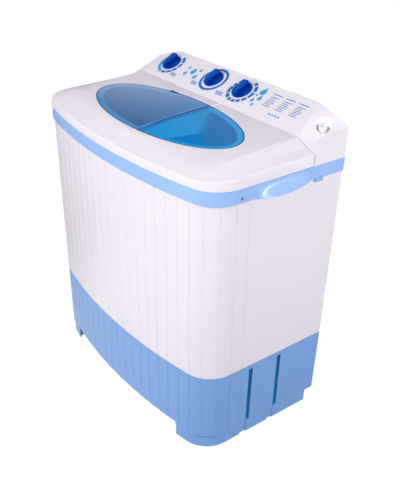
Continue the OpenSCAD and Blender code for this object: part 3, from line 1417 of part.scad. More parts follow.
spin_drain_route = [[spin_drain_at[0], spin_drain_at[1], seal_z - 0.3],
    [spin_drain_at[0], spin_drain_at[1], seal_z - 8.5], [spin_drain_at[0] - 4, spin_drain_at[1] + 8, seal_z - 14.5],
    [spin_x - 78, valve_at[1] - 72, seal_z - 16.5], [40, valve_at[1] - 22, seal_z - 8.5],
    [10, valve_at[1] - 4, seal_z + 14.5], [0, valve_at[1], valve_z + 4],
    [valve_at[0] + valve_r + 21.3, valve_at[1], valve_z + 4]];
module spin_drain_hose() {
    color(dark) hose(spin_drain_route, spin_drain_r, 10);
}

base_plinth();
rubber_feet();
cabinet_shell();
rear_cover();
rear_cover_screws();
cord_gland();
waist_band();
band_screws();
twin_tub();
hinge_pins();
spin_tub();
overflow_cover();
console();
inlet_cup();
wash_timer();
selector_switch();
spin_timer();
buzzer();
lid_switch();
inlet_nozzle();
inlet_pipe();
wash_lid();
wash_window();
spin_lid();
spin_window();
wash_timer_knob();
selector_knob();
spin_timer_knob();
drive_bracket();
bracket_screws();
wash_bearing_housing();
wash_shaft_seal();
pulsator();
pulsator_screw();
pulsator_shaft();
big_pulley();
wash_motor();
motor_pulley();
drive_belt();
capacitor();
spin_motor();
motor_spider();
motor_springs();
spin_shaft();
brake_drum();
brake_bracket();
brake_lever();
brake_spring();
brake_cable();
spin_bearing();
water_seal();
spin_basket();
press_disc();
drain_valve_box();
drain_valve_cap();
drain_plunger();
valve_spring();
drain_hose();
spin_drain_hose();
drain_spigot();
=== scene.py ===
# A twin tub washing machine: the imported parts, finished, printed and lit as in a studio.
import math

import bmesh
import bpy
from mathutils import Matrix, Vector


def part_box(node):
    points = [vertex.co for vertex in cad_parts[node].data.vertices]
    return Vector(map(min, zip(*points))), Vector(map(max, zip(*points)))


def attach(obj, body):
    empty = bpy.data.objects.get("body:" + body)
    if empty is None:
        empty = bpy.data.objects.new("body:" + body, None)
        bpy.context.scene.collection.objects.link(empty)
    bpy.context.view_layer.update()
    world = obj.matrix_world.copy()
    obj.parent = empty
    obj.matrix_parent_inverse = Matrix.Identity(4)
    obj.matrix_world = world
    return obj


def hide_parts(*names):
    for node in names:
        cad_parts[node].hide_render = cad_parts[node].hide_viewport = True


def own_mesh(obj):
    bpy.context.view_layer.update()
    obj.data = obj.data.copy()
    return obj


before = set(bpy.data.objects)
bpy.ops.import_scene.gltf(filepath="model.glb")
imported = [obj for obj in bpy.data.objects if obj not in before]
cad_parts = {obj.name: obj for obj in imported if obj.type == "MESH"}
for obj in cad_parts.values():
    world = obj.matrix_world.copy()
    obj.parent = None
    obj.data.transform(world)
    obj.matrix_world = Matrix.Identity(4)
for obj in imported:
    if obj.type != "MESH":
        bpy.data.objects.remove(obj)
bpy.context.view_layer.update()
scene = bpy.context.scene

# ---- camera ----
# A moderate lens, standing off the right front corner and looking down on the lids.
CAMERA_AT = Vector((1.37916, -0.96381, 1.33355))
CAMERA_LOOKS_AT = Vector((0.048825, 0.044662, 0.377331))
CAMERA_ROLL = math.radians(0.787)
SENSOR_WIDTH = 36.0
LENS = 51.69
FARTHEST_SEEN = 50.0
camera_data = bpy.data.cameras.new("camera")
camera_data.sensor_fit = "AUTO"
camera_data.sensor_width = SENSOR_WIDTH
camera_data.lens = LENS
camera_data.clip_end = FARTHEST_SEEN
camera = bpy.data.objects.new("camera", camera_data)
scene.collection.objects.link(camera)
aim = (CAMERA_LOOKS_AT - CAMERA_AT).to_track_quat("-Z", "Y").to_matrix().to_4x4()
camera.matrix_world = Matrix.Translation(CAMERA_AT) @ aim @ Matrix.Rotation(CAMERA_ROLL, 4, "Z")
scene.camera = camera
scene.view_settings.view_transform = "Standard"


# ---- studio ----
# A pale floor and an even pale room, dimmer at the left, overhead and behind the camera. A large
# softbox stands in front, a smaller one at the right, and a long strip puts the glint on the handle.
# The floor bounces less light at the left, and gloss sees a white card on it between two dim ones.
class Wire:
    """A value in the material being made. Operators on it add Math nodes."""

    tree = None

    def __init__(self, socket):
        self.socket = socket

    @classmethod
    def node(cls, kind, settings=None, sockets=None, out=0):
        made = cls.tree.nodes.new(kind)
        for name, value in (settings or {}).items():
            setattr(made, name, value)
        for name, value in (sockets or {}).items():
            if isinstance(value, Wire):
                cls.tree.links.new(value.socket, made.inputs[name])
            elif hasattr(value, "__len__") and made.inputs[name].type == "RGBA":
                made.inputs[name].default_value = (*value, 1.0)
            else:
                made.inputs[name].default_value = value
        return cls(made.outputs[out]) if len(made.outputs) else None

    def _maths(self, operation, a, b=0.0):
        return Wire.node("ShaderNodeMath", {"operation": operation}, {0: a, 1: b})

    def __add__(self, other):
        return self._maths("ADD", self, other)

    def __radd__(self, other):
        return self._maths("ADD", other, self)

    def __sub__(self, other):
        return self._maths("SUBTRACT", self, other)

    def __rsub__(self, other):
        return self._maths("SUBTRACT", other, self)

    def __mul__(self, other):
        return self._maths("MULTIPLY", self, other)

    def __rmul__(self, other):
        return self._maths("MULTIPLY", other, self)

    def __truediv__(self, other):
        return self._maths("DIVIDE", self, other)

    def __rtruediv__(self, other):
        return self._maths("DIVIDE", other, self)

    def __abs__(self):
        return self._maths("ABSOLUTE", self)

    def root(self):
        return self._maths("SQRT", self)

    def most(self, other):
        return self._maths("MAXIMUM", self, other)

    def rise(self, start, end):
        """0 before start, 1 after end, and a smooth step between them."""
        return Wire.node("ShaderNodeMapRange", {"interpolation_type": "SMOOTHSTEP"},
                         {"Value": self, "From Min": start, "From Max": end})


def begin(name):
    """Starts a node material and returns it; Wire.node then adds to it."""
    material = bpy.data.materials.new(name)
    material.use_nodes = True
    material.node_tree.nodes.clear()
    Wire.tree = material.node_tree
    return material


def finish(material, surface):
    Wire.node("ShaderNodeOutputMaterial", None, {"Surface": surface})
    return material


def place():
    return Wire.node("ShaderNodeTexCoord", None, None, "Object")


def axes_of(vector):
    split = Wire.node("ShaderNodeSeparateXYZ", None, {"Vector": vector}).socket.node
    return [Wire(output) for output in split.outputs]


MIX_FACTOR, MIX_A, MIX_B, MIX_COLOUR = 0, 6, 7, 2


def blend_colour(factor, a, b):
    return Wire.node("ShaderNodeMix", {"data_type": "RGBA"},
                     {MIX_FACTOR: factor, MIX_A: a, MIX_B: b}, MIX_COLOUR)


def blend_shader(factor, a, b):
    return Wire.node("ShaderNodeMixShader", None, {0: factor, 1: a, 2: b})


def diffuse(colour):
    return Wire.node("ShaderNodeBsdfDiffuse", None, {"Color": colour})


def shining(colour, strength=1.0):
    return Wire.node("ShaderNodeEmission", None, {"Color": colour, "Strength": strength})


def light_path(*kinds):
    """1 for the kinds of ray that are named."""
    outs = Wire.node("ShaderNodeLightPath").socket.node.outputs
    found = Wire(outs[kinds[0]])
    for kind in kinds[1:]:
        found = found.most(Wire(outs[kind]))
    return found


FLOOR_HALF = 6.0
PAPER = (0.93, 0.93, 0.93)
PAPER_GLOW = (1.0, 1.0, 1.0)
PAPER_GLOW_SHARE = 0.80
PAPER_GLOW_LEVEL = 1.15
BOUNCE_GLOW = (1.0, 0.98, 1.0)
BOUNCE_GLOW_SHARE = 0.10
BOUNCE_LEFT = (0.08, 0.08, 0.085)
BOUNCE_RIGHT = (0.46, 0.447, 0.468)
BOUNCE_LEFT_TO_RIGHT = (-0.7, 0.2)
CARD_DIM = (0.22, 0.22, 0.24)
CARD_WHITE = (1.0, 0.99, 1.0)
CARD_STARTS = (-1.0, -0.35)
CARD_ENDS = (0.05, 0.45)
floor_mesh = bpy.data.meshes.new("studio_floor")
floor_mesh.from_pydata(
    [(-FLOOR_HALF, -FLOOR_HALF, 0), (FLOOR_HALF, -FLOOR_HALF, 0),
     (FLOOR_HALF, FLOOR_HALF, 0), (-FLOOR_HALF, FLOOR_HALF, 0)], [], [(0, 1, 2, 3)])
floor = bpy.data.objects.new("studio_floor", floor_mesh)
scene.collection.objects.link(floor)
floor_paper = begin("floor_paper")
floor_x = axes_of(place())[0]
bounced = blend_colour(floor_x.rise(*BOUNCE_LEFT_TO_RIGHT), BOUNCE_LEFT, BOUNCE_RIGHT)
bounce = blend_shader(BOUNCE_GLOW_SHARE, diffuse(bounced), shining(BOUNCE_GLOW))
white_card = floor_x.rise(*CARD_STARTS) * (1.0 - floor_x.rise(*CARD_ENDS))
cards = shining(blend_colour(white_card, CARD_DIM, CARD_WHITE))
seen_paper = blend_shader(PAPER_GLOW_SHARE, diffuse(PAPER), shining(PAPER_GLOW, PAPER_GLOW_LEVEL))
finish(floor_paper, blend_shader(
    light_path("Is Camera Ray", "Is Transmission Ray"),
    blend_shader(light_path("Is Glossy Ray"), bounce, cards), seen_paper))
floor_mesh.materials.append(floor_paper)

WALLS = (1.00, 0.985, 1.02)
DIM_WALLS = (0.46, 0.45, 0.47)
CEILING = (0.410, 0.392, 0.434)
BACKDROP = (1.0, 1.0, 1.0)
DIM_SIDE = (0.81, -0.59)
DIM_SIDE_EDGE = (0.35, 0.95)
DIM_LEFT_EDGE = (0.3, 0.95)
CEILING_EDGE = (0.0, 0.8)
room = bpy.data.worlds.new("studio_room")
scene.world = room
room.use_nodes = True
room.node_tree.nodes.clear()
Wire.tree = room.node_tree
east, north, height = axes_of(Wire.node("ShaderNodeTexCoord", None, None, "Generated"))
towards_dim_side = DIM_SIDE[0] * east + DIM_SIDE[1] * north
dim = towards_dim_side.rise(*DIM_SIDE_EDGE).most((-1.0 * east).rise(*DIM_LEFT_EDGE))
walls = blend_colour(dim, WALLS, DIM_WALLS)
lit_room = Wire.node("ShaderNodeBackground", None, {
    "Color": blend_colour(height.rise(*CEILING_EDGE), walls, CEILING)})
seen_room = Wire.node("ShaderNodeBackground", None, {"Color": BACKDROP})
Wire.node("ShaderNodeOutputWorld", None, {
    "Surface": blend_shader(light_path("Is Camera Ray", "Is Transmission Ray"), lit_room, seen_room)})

LAMP_WHITE = (1.0, 0.985, 1.0)


def softbox(name, at, looks_at, size, power):
    data = bpy.data.lights.new(name, "AREA")
    data.shape = "RECTANGLE"
    data.size, data.size_y = size
    data.energy = power
    data.color = LAMP_WHITE
    lamp = bpy.data.objects.new(name, data)
    scene.collection.objects.link(lamp)
    turned = (Vector(looks_at) - Vector(at)).to_track_quat("-Z", "Y").to_matrix().to_4x4()
    lamp.matrix_world = Matrix.Translation(at) @ turned


softbox("front_softbox", at=(0.1, -1.9, 1.70), looks_at=(0, 0, 0.5), size=(1.1, 1.1), power=34.5)
softbox("right_softbox", at=(1.70, 0.15, 1.15), looks_at=(0, 0, 0.6), size=(0.8, 0.7), power=6.6)
softbox("strip_softbox", at=(2.19, 0.70, 1.04), looks_at=(0.37, -0.03, 0.70), size=(1.2, 0.24),
        power=9.8)

# ---- cabinet, lids and console ----
# Injection moulded white plastic with a fine spark-eroded grain and a soft gloss. The shell stands in
# the plinth, the console on the deck and the band, and the lids turn on steel pins. A painted
# highlight, an emission along the cut between the two lids, stands in for light on their thin edges.
WHITE_TONES = ((0.845, 0.820, 0.860), (0.820, 0.795, 0.840))
WHITE_ROUGHNESS = 0.34
WHITE_COAT = 0.25
SOFT_CREASE = 24.0
LID_CREASE = 34.0
TONE_PATCHES = 3.0
ROUGHNESS_PATCHES = 25.0
ROUGHNESS_SPREAD = 0.06
GRAIN = (900.0, 0.00004)
GRAIN_DETAIL = 3.0
GRAIN_STRENGTH = 0.35
PLASTIC_IOR = 1.48
COAT_ROUGHNESS = 0.12
LID_CUT_X = (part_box("wash_lid")[1].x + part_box("spin_lid")[0].x) / 2.0
LID_CUT_HALF = (0.0009, 0.0013)
LID_CUT_FRONT_TO_BACK = (-0.12, 0.06)
# Painted highlight: an emission along the cut between the lids, dimmer at the front than the back.
LID_CUT_PAINTED_HIGHLIGHT = ((0.22, 0.215, 0.225), (0.46, 0.45, 0.47))
UNLIT = (0.0, 0.0, 0.0)
SAME_POINT = 0.00001


def cloud(scale, detail=2.0):
    return Wire.node("ShaderNodeTexNoise", None,
                     {"Scale": scale, "Detail": detail, "Vector": place()})


def plastic(name, tones, roughness, coat=0.0, shine=0.5, grain=GRAIN, paint=None, painted_light=None):
    """A moulded plastic of two close tones, with a grain of that fineness and height.

    paint(x, y, z, colour) gives its colour at a place, with any painted light and shade, and the last
    argument paints light there as an emission, though the plastic is no lamp.
    """
    material = begin(name)
    colour = blend_colour(cloud(TONE_PATCHES), *tones)
    sockets = {
        "Base Color": paint(*axes_of(place()), colour) if paint else colour,
        "Roughness": roughness + ROUGHNESS_SPREAD * cloud(ROUGHNESS_PATCHES),
        "Normal": Wire.node("ShaderNodeBump", None, {
            "Strength": GRAIN_STRENGTH, "Distance": grain[1],
            "Height": cloud(grain[0], GRAIN_DETAIL)}),
        "IOR": PLASTIC_IOR, "Specular IOR Level": shine,
        "Coat Weight": coat, "Coat Roughness": COAT_ROUGHNESS}
    # Painted light, given as an emission.
    if painted_light:
        sockets["Emission Color"] = painted_light(*axes_of(place()))
        sockets["Emission Strength"] = 1.0
    return finish(material, Wire.node("ShaderNodeBsdfPrincipled", None, sockets))


def dress(material, crease, *nodes):
    """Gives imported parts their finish, smooth between creases of that many degrees or more."""
    for node in nodes:
        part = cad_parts[node]
        mesh = part.data
        mesh.materials.clear()
        mesh.materials.append(material)
        for polygon in mesh.polygons:
            polygon.use_smooth = True
        weld = part.modifiers.new("weld", "WELD")
        weld.merge_threshold = SAME_POINT
        split = part.modifiers.new("creases", "EDGE_SPLIT")
        split.split_angle = math.radians(crease)
        flat = part.modifiers.new("flat_faces", "WEIGHTED_NORMAL")
        flat.keep_sharp = True


# Paints a highlight along the cut between the lids as an emission.
def lid_cut_painted_highlight(x, y, z):
    at_cut = blend_colour(y.rise(*LID_CUT_FRONT_TO_BACK), *LID_CUT_PAINTED_HIGHLIGHT)
    return blend_colour(abs(x - LID_CUT_X).rise(*LID_CUT_HALF), at_cut, UNLIT)


white_moulding = plastic("white_moulding", WHITE_TONES, WHITE_ROUGHNESS, coat=WHITE_COAT)
lid_moulding = plastic("lid_moulding", WHITE_TONES, WHITE_ROUGHNESS, coat=WHITE_COAT, painted_light=lid_cut_painted_highlight)
dress(white_moulding, SOFT_CREASE, "cabinet_shell", "console")
dress(lid_moulding, LID_CREASE, "wash_lid", "spin_lid")

# ---- plinth and waist band ----
# Light blue mouldings. The plinth is a shade deeper than the band, with grooves that run on from the
# cabinet, two blind slots in each side and a fine step round the front corners over the feet. The
# band is screwed on and carries the handles and the hose hook. Deep in the slots the plastic is
# painted a darker, saturated blue with a faint glow, as painted shade and blue bounce light, and a
# line of painted shadow runs under the step.
PLINTH_TONES = ((0.212, 0.410, 0.775), (0.197, 0.390, 0.755))
PLINTH_ROUGHNESS = 0.34
PLINTH_COAT = 0.1
# Painted shade and a painted glow of blue bounce light, deep inside the slots.
SLOT_PAINTED_SHADE = (0.0, 0.430, 0.620)
SLOT_PAINTED_BOUNCE_LIGHT = (0.0, 0.026, 0.110)
SLOT_Y = (-0.029, 0.063)
SLOT_HALF = (0.0062, 0.0066)
SLOT_FOOT_Z = (0.0445, 0.0465)
SLOT_DEPTH = (0.0010, 0.0040)
PLINTH_SKIN_X = 0.354
PLINTH_SKIN_LEAN = 0.0222
# A dark line of painted shadow under the step round the front corners.
STEP_PAINTED_SHADOW = (0.010, 0.100, 0.400)
STEP_SHADOW_SHARE = 0.75
STEP_FOOT_Z = (0.0340, 0.0365)
STEP_TOP_Z = (0.0392, 0.0400)
STEP_X = (0.300, 0.322)
STEP_Y = (-0.135, -0.110)
SKY_TONES = ((0.335, 0.545, 0.925), (0.315, 0.525, 0.910))
SKY_ROUGHNESS = 0.20
SKY_COAT = 0.3
ROUND_CREASE = 40.0


def in_slot(x, y, z):
    found = 0.0
    for slot_y in SLOT_Y:
        found = (1.0 - abs(y - slot_y).rise(*SLOT_HALF)).most(found)
    depth = PLINTH_SKIN_X + PLINTH_SKIN_LEAN * z - abs(x)
    return found * depth.rise(*SLOT_DEPTH) * z.rise(*SLOT_FOOT_Z)


# Paints a shadow line under the step and shade inside the slots.
def plinth_painted_shade(x, y, z, colour):
    step = (z.rise(*STEP_FOOT_Z) * (1.0 - z.rise(*STEP_TOP_Z)) * abs(x).rise(*STEP_X)
            * (1.0 - y.rise(*STEP_Y)))
    step_shadowed = blend_colour(STEP_SHADOW_SHARE * step, colour, STEP_PAINTED_SHADOW)
    return blend_colour(in_slot(x, y, z), step_shadowed, SLOT_PAINTED_SHADE)


# A painted glow of blue bounce light inside the slots.
def slot_painted_bounce_light(x, y, z):
    return blend_colour(in_slot(x, y, z), UNLIT, SLOT_PAINTED_BOUNCE_LIGHT)


plinth_moulding = plastic("plinth_moulding", PLINTH_TONES, PLINTH_ROUGHNESS, coat=PLINTH_COAT,
                          paint=plinth_painted_shade, painted_light=slot_painted_bounce_light)
sky_moulding = plastic("sky_moulding", SKY_TONES, SKY_ROUGHNESS, coat=SKY_COAT)
dress(plinth_moulding, SOFT_CREASE, "base_plinth")
dress(sky_moulding, ROUND_CREASE, "waist_band")

# ---- windows ----
# Each lid carries half of an oval pane of clear blue acrylic, dropped into a rebate on a narrow
# ledge. The panes are mostly opaque and show a painted view of what lies under them, light and shade
# included: dark lines of painted shade along the oval's edge and along the cut, a painted lit ledge,
# the deep tub in the wash pane painted grey blue, lit at the back and shaded at the front, and in the
# spin pane a painted lit near wall, a shaded far wall and a deeper wedge.
WINDOW_MIDDLE = (-0.005, -0.027)
WINDOW_HALF = (0.2695, 0.111)
WINDOW_EDGE = (0.0020, 0.0036)
LEDGE_MIDDLE = (0.0015, -0.029)
LEDGE_HALF = (0.2485, 0.095)
LEDGE_EDGE = (-0.0010, 0.0022)
PANE_FRONT_Y = -0.110
PANE_DEPTH = 0.165
# Painted shade: a dark line along the oval's edge.
EDGE_PAINTED_SHADE = (0.010, 0.065, 0.330)
PATCH_NAVY = (0.0, 0.02, 0.10)
PATCH_SHARE = 0.10
PATCH_SCALE = 5.0
ACRYLIC_ROUGHNESS = 0.04
ACRYLIC_PATCHES = 30.0
ACRYLIC_IOR = 1.49
ACRYLIC_CLEAR = 0.10
PANE_CREASE = 30.0

WASH_LEFT_X = -0.220
WASH_WIDTH = 0.240
# Painted light and shade on the tub under the wash pane: lit at the back, shaded at the front.
WASH_PAINTED_LIT_BACK = ((0.330, 0.465, 0.740), (0.115, 0.315, 0.620))
WASH_PAINTED_SHADED_FRONT = ((0.120, 0.240, 0.475), (0.052, 0.160, 0.370))
# The ledge under the wash pane, painted lit.
WASH_LEDGE_PAINTED_LIGHT = ((0.330, 0.510, 0.790), (0.066, 0.345, 0.650))
WASH_LEDGE_TURN_Y = -0.010
WASH_LEDGE_TURN = 0.100
WASH_STRIP_LEAN = 0.075
WASH_STRIP = (0.0175, 0.0200)
WASH_MERGED_Y = (0.000, 0.040)
WASH_MERGED_X = (-0.150, -0.050)
WASH_MERGED_SHARE = 0.75
WASH_TINT = (0.02, 0.40, 0.60)
WASH_SHINE = 0.05

# Painted shade: a dark line along the cut between the panes.
SPLIT_PAINTED_SHADE = (0.004, 0.105, 0.400)
SPLIT_X = 0.031
SPLIT_HALF = (0.0026, 0.0050)
SPLIT_BEND_Y = -0.050
SPLIT_BEND = 0.17

# Painted light and shade on the tub under the spin pane: one wall lit, the other shaded.
SPIN_PAINTED_LIT_WALL = ((0.012, 0.370, 0.780), (0.060, 0.380, 0.760))
SPIN_PAINTED_SHADED_WALL = ((0.010, 0.200, 0.510), (0.060, 0.245, 0.575))
SPIN_DULL_LEAN = 0.9
SPIN_DULL_FROM = (0.101, 0.134)
SPIN_DEEP = (0.0, 0.238, 0.640)
SPIN_DEEP_LEAN = 0.333
SPIN_DEEP_FROM = (0.164, 0.170)
SPIN_DEEP_TO = (0.128, 0.156)
SPIN_DEEP_BACK_Y = (-0.044, -0.036)
# The ledge under the spin pane, painted lit.
SPIN_LEDGE_PAINTED_LIGHT = ((0.010, 0.375, 0.790), (0.075, 0.445, 0.825))
# Painted shade in a band beside the cut, on the spin pane.
SPIN_PAINTED_SHADE_BY_CUT = (0.028, 0.225, 0.600)
SPIN_BY_SPLIT_X = (0.039, 0.050)
SPIN_TINT = (0.0, 0.40, 0.62)
SPIN_SHINE = 0.012


def inside(x, y, middle, half):
    """Roughly how far inside the ellipse a point lies, in metres."""
    across = (x - middle[0]) / half[0]
    along = (y - middle[1]) / half[1]
    size = (across * across + along * along).root()
    steepness = (across * across / half[0] ** 2 + along * along / half[1] ** 2).root()
    return (1.0 - size) * size / steepness


def over_ledge(x, y):
    return 1.0 - inside(x, y, LEDGE_MIDDLE, LEDGE_HALF).rise(*LEDGE_EDGE)


def split_bend(y):
    """How far the cut edges run to the right as they come round to the front."""
    return SPLIT_BEND * (SPLIT_BEND_Y - y).most(0.0)


# The painted view through the wash pane, with its light and shade.
def wash_painted_view(x, y):
    across = (x - WASH_LEFT_X) / WASH_WIDTH
    tub = blend_colour((y - PANE_FRONT_Y) / PANE_DEPTH, blend_colour(across, *WASH_PAINTED_SHADED_FRONT),
                       blend_colour(across, *WASH_PAINTED_LIT_BACK))
    ledge = blend_colour(across + (WASH_LEDGE_TURN_Y - y) / WASH_LEDGE_TURN, *WASH_LEDGE_PAINTED_LIGHT)
    strip = (x + WASH_STRIP_LEAN * y).rise(*WASH_STRIP)
    merged = y.rise(*WASH_MERGED_Y) * x.rise(*WASH_MERGED_X)
    on_ledge = over_ledge(x, y).most(strip) * (1.0 - WASH_MERGED_SHARE * merged)
    # A dark line of painted shade by the cut.
    dark_line = 1.0 - abs(x - SPLIT_X - split_bend(y)).rise(*SPLIT_HALF)
    return blend_colour(dark_line, blend_colour(on_ledge, tub, ledge), SPLIT_PAINTED_SHADE)


# The painted view through the spin pane, with its light and shade.
def spin_painted_view(x, y):
    front_to_back = (y - PANE_FRONT_Y) / PANE_DEPTH
    slant = x + SPIN_DULL_LEAN * y
    tub = blend_colour(slant.rise(*SPIN_DULL_FROM), blend_colour(front_to_back, *SPIN_PAINTED_LIT_WALL),
                       blend_colour(front_to_back, *SPIN_PAINTED_SHADED_WALL))
    deep = ((x - SPIN_DEEP_LEAN * y).rise(*SPIN_DEEP_FROM) * (1.0 - slant.rise(*SPIN_DEEP_TO))
            * (1.0 - y.rise(*SPIN_DEEP_BACK_Y)))
    ledge = blend_colour(front_to_back, *SPIN_LEDGE_PAINTED_LIGHT)
    tones = blend_colour(over_ledge(x, y), blend_colour(deep, tub, SPIN_DEEP), ledge)
    # A band of painted shade beside the cut.
    by_split = 1.0 - (x - split_bend(y)).rise(*SPIN_BY_SPLIT_X)
    return blend_colour(by_split, tones, SPIN_PAINTED_SHADE_BY_CUT)


# A pane that shows a painted view with its light and shade, and lets a little tinted light through.
def acrylic(name, painted_view_at, tint, shine):
    material = begin(name)
    x, y, _ = axes_of(place())
    edge = 1.0 - inside(x, y, WINDOW_MIDDLE, WINDOW_HALF).rise(*WINDOW_EDGE)
    # The oval's edge gets a dark line of painted shade.
    colour = blend_colour(edge, painted_view_at(x, y), EDGE_PAINTED_SHADE)
    surface = Wire.node("ShaderNodeBsdfPrincipled", None, {
        "Base Color": blend_colour(PATCH_SHARE * cloud(PATCH_SCALE), colour, PATCH_NAVY),
        "Roughness": ACRYLIC_ROUGHNESS + ACRYLIC_ROUGHNESS * cloud(ACRYLIC_PATCHES),
        "IOR": ACRYLIC_IOR, "Specular IOR Level": shine})
    clear = Wire.node("ShaderNodeBsdfTransparent", None, {"Color": tint})
    return finish(material, blend_shader((1.0 - edge) * ACRYLIC_CLEAR, surface, clear))


wash_acrylic = acrylic("wash_acrylic", wash_painted_view, WASH_TINT, WASH_SHINE)
spin_acrylic = acrylic("spin_acrylic", spin_painted_view, SPIN_TINT, SPIN_SHINE)
dress(wash_acrylic, PANE_CREASE, "wash_window")
dress(spin_acrylic, PANE_CREASE, "spin_window")

# ---- knobs ----
# Three deep blue knobs with a tall grip on a low dome, pressed on the stems of the timers and the
# selector. Painted light makes the top of the grip lighter, and painted shade makes the flank beside
# it deeper; both are painted on the knob and turn with it.
PANEL_AT = Vector((0.0, 0.111, 0.767))
PANEL_SLOPE = math.radians(27.1)
KNOBS = ("wash_timer_knob", "selector_knob", "spin_timer_knob")
KNOB_TONES = ((0.0, 0.066, 0.380), (0.0, 0.056, 0.350))
# Painted light on the top of the grip.
KNOB_PAINTED_LIGHT = (0.001, 0.105, 0.440)
KNOB_PAINTED_LIGHT_FROM = (0.010, 0.021)
# Painted shade on the flank beside the grip.
KNOB_PAINTED_SHADE = (0.0, 0.020, 0.250)
KNOB_PAINTED_SHADE_FROM = (0.002, 0.006)
KNOB_PAINTED_SHADE_TO = (0.016, 0.027)
KNOB_ROUGHNESS = 0.30
KNOB_SHINE = 0.03


def middle_x(node):
    low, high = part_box(node)
    return (low.x + high.x) / 2.0


# Paints light on the top of a knob's grip and shade on the flank beside it.
def knob_painted_light(axis_x):
    def paint(x, y, z, colour):
        across = x - axis_x
        height = ((z - PANEL_AT.z) * math.cos(PANEL_SLOPE)
                  - (y - PANEL_AT.y) * math.sin(PANEL_SLOPE))
        painted_shade_mask = across.rise(*KNOB_PAINTED_SHADE_FROM) * (1.0 - across.rise(*KNOB_PAINTED_SHADE_TO))
        shaded = blend_colour(painted_shade_mask, colour, KNOB_PAINTED_SHADE)
        return blend_colour(height.rise(*KNOB_PAINTED_LIGHT_FROM), shaded, KNOB_PAINTED_LIGHT)
    return paint


for knob in KNOBS:
    knob_plastic = plastic("blue_" + knob, KNOB_TONES, KNOB_ROUGHNESS, shine=KNOB_SHINE,
                           paint=knob_painted_light(middle_x(knob)))
    dress(knob_plastic, ROUND_CREASE, knob)

# ---- panel print ----
# Dial marks, drops and columns of short lines, screen printed on the sloping panel in two blues. The
# ink stands a hair proud of the plastic. The outlines are in the plane of the panel, with v up it.
PANEL = Matrix.Translation(PANEL_AT) @ Matrix.Rotation(PANEL_SLOPE, 4, "X")
KNOB_V = 0.060
INK_UNDER = -0.00005
INK_OVER = 0.00012
ARC_STEP = math.radians(4.0)
WASH_ARC = (0.0325, 0.0422, 118, 262)
WASH_SEGMENTS = ((268, 290), (294, 318), (322, 346), (350, 376), (381, 418))
WASH_SEGMENT_R = (0.0328, 0.0422)
SELECTOR_RING_R = (0.0345, 0.0425)
SELECTOR_RING_HALVES = ((0, 180), (180, 360))
SPIN_SEGMENTS = ((118, 150), (155, 172), (177, 214), (219, 242), (247, 264), (269, 287), (292, 309),
                 (314, 336), (341, 370), (375, 404), (409, 430))
SPIN_SEGMENT_R = (0.0333, 0.0428)
DROPS = ((-0.169, 0.044, 0.0058), (-0.148, 0.058, 0.0088), (-0.126, 0.044, 0.0066),
         (-0.173, 0.066, 0.0042), (-0.128, 0.070, 0.0046), (0.108, 0.044, 0.0052),
         (0.123, 0.056, 0.0066), (0.106, 0.063, 0.0034), (0.115, 0.077, 0.0096),
         (0.120, 0.032, 0.0042))
DROP_ROUND = (150, 240)
DROP_STEPS = 12
DROP_POINT = 2.0
LINE_H = 0.0024
DIAL_LINES = ((-0.216, 0.024), (-0.121, 0.023), (-0.016, 0.026))
DIAL_LINES_V = 0.030
DIAL_LINE_ROWS = 3
DIAL_LINE_DROP = 0.0044
DIAL_LINE_INDENT = 0.002
COLUMN_X = (0.146, 0.191, 0.236)
COLUMN_HEAD_V = 0.084
COLUMN_HEAD_W = 0.030
COLUMN_V = 0.074
COLUMN_ROWS = 6
COLUMN_DROP = 0.0062
COLUMN_INDENT = 0.001
COLUMN_WIDTHS = (0.026, 0.020, 0.024)
COLUMN_LINE_H = 0.8 * LINE_H
DASHES = 4
DASH_AT = (0.186, 0.024)
DASH_PITCH = 0.0105
DASH_SIZE = (0.0075, 0.0042)
NUMBER_R = 0.0475
NUMBER_H = 0.0060
NUMBER_TURN = math.radians(66)
WASH_NUMBERS = ("0", "5", "10", "15")
SPIN_NUMBERS = ("0", "1", "2", "3", "4", "5")
LIGHT_INK = ((0.062, 0.365, 0.705), (0.054, 0.340, 0.670))
DARK_INK = ((0.0, 0.190, 0.560), (0.0, 0.170, 0.520))
INK_ROUGHNESS = 0.45
INK_SHINE = 0.15
INK_GRAIN = (1400.0, 0.00001)


def arc_band(x, inner, outer, start, end):
    """Part of a ring round a knob, in degrees from the right, turning towards the back."""
    start, end = math.radians(start), math.radians(end)
    steps = max(2, math.ceil((end - start) / ARC_STEP))
    turns = [start + (end - start) * i / steps for i in range(steps + 1)]
    return [(x + radius * math.cos(turn), KNOB_V + radius * math.sin(turn))
            for radius, side in ((outer, turns), (inner, turns[::-1])) for turn in side]


def bar(x, v, width, height):
    return [(x, v), (x + width, v), (x + width, v + height), (x, v + height)]


def drop(x, v, size):
    """A drop with its point up the slope."""
    start, sweep = DROP_ROUND
    turns = [math.radians(start + sweep * i / DROP_STEPS) for i in range(DROP_STEPS + 1)]
    return [(x, v + DROP_POINT * size)] + [
        (x + size * math.cos(turn), v + size * math.sin(turn)) for turn in turns]


def mesh_of(shape, name):
    data = bpy.data.meshes.new(name)
    shape.to_mesh(data)
    shape.free()
    return data


def ink_mesh(name, outlines):
    shape = bmesh.new()
    for outline in outlines:
        low = [shape.verts.new(PANEL @ Vector((x, v, INK_UNDER))) for x, v in outline]
        high = [shape.verts.new(PANEL @ Vector((x, v, INK_OVER))) for x, v in outline]
        shape.faces.new(high)
        shape.faces.new(low[::-1])
        for i in range(len(outline)):
            j = (i + 1) % len(outline)
            shape.faces.new((low[i], low[j], high[j], high[i]))
    bmesh.ops.triangulate(shape, faces=[face for face in shape.faces if len(face.verts) > 4])
    bmesh.ops.recalc_face_normals(shape, faces=shape.faces)
    return mesh_of(shape, name)


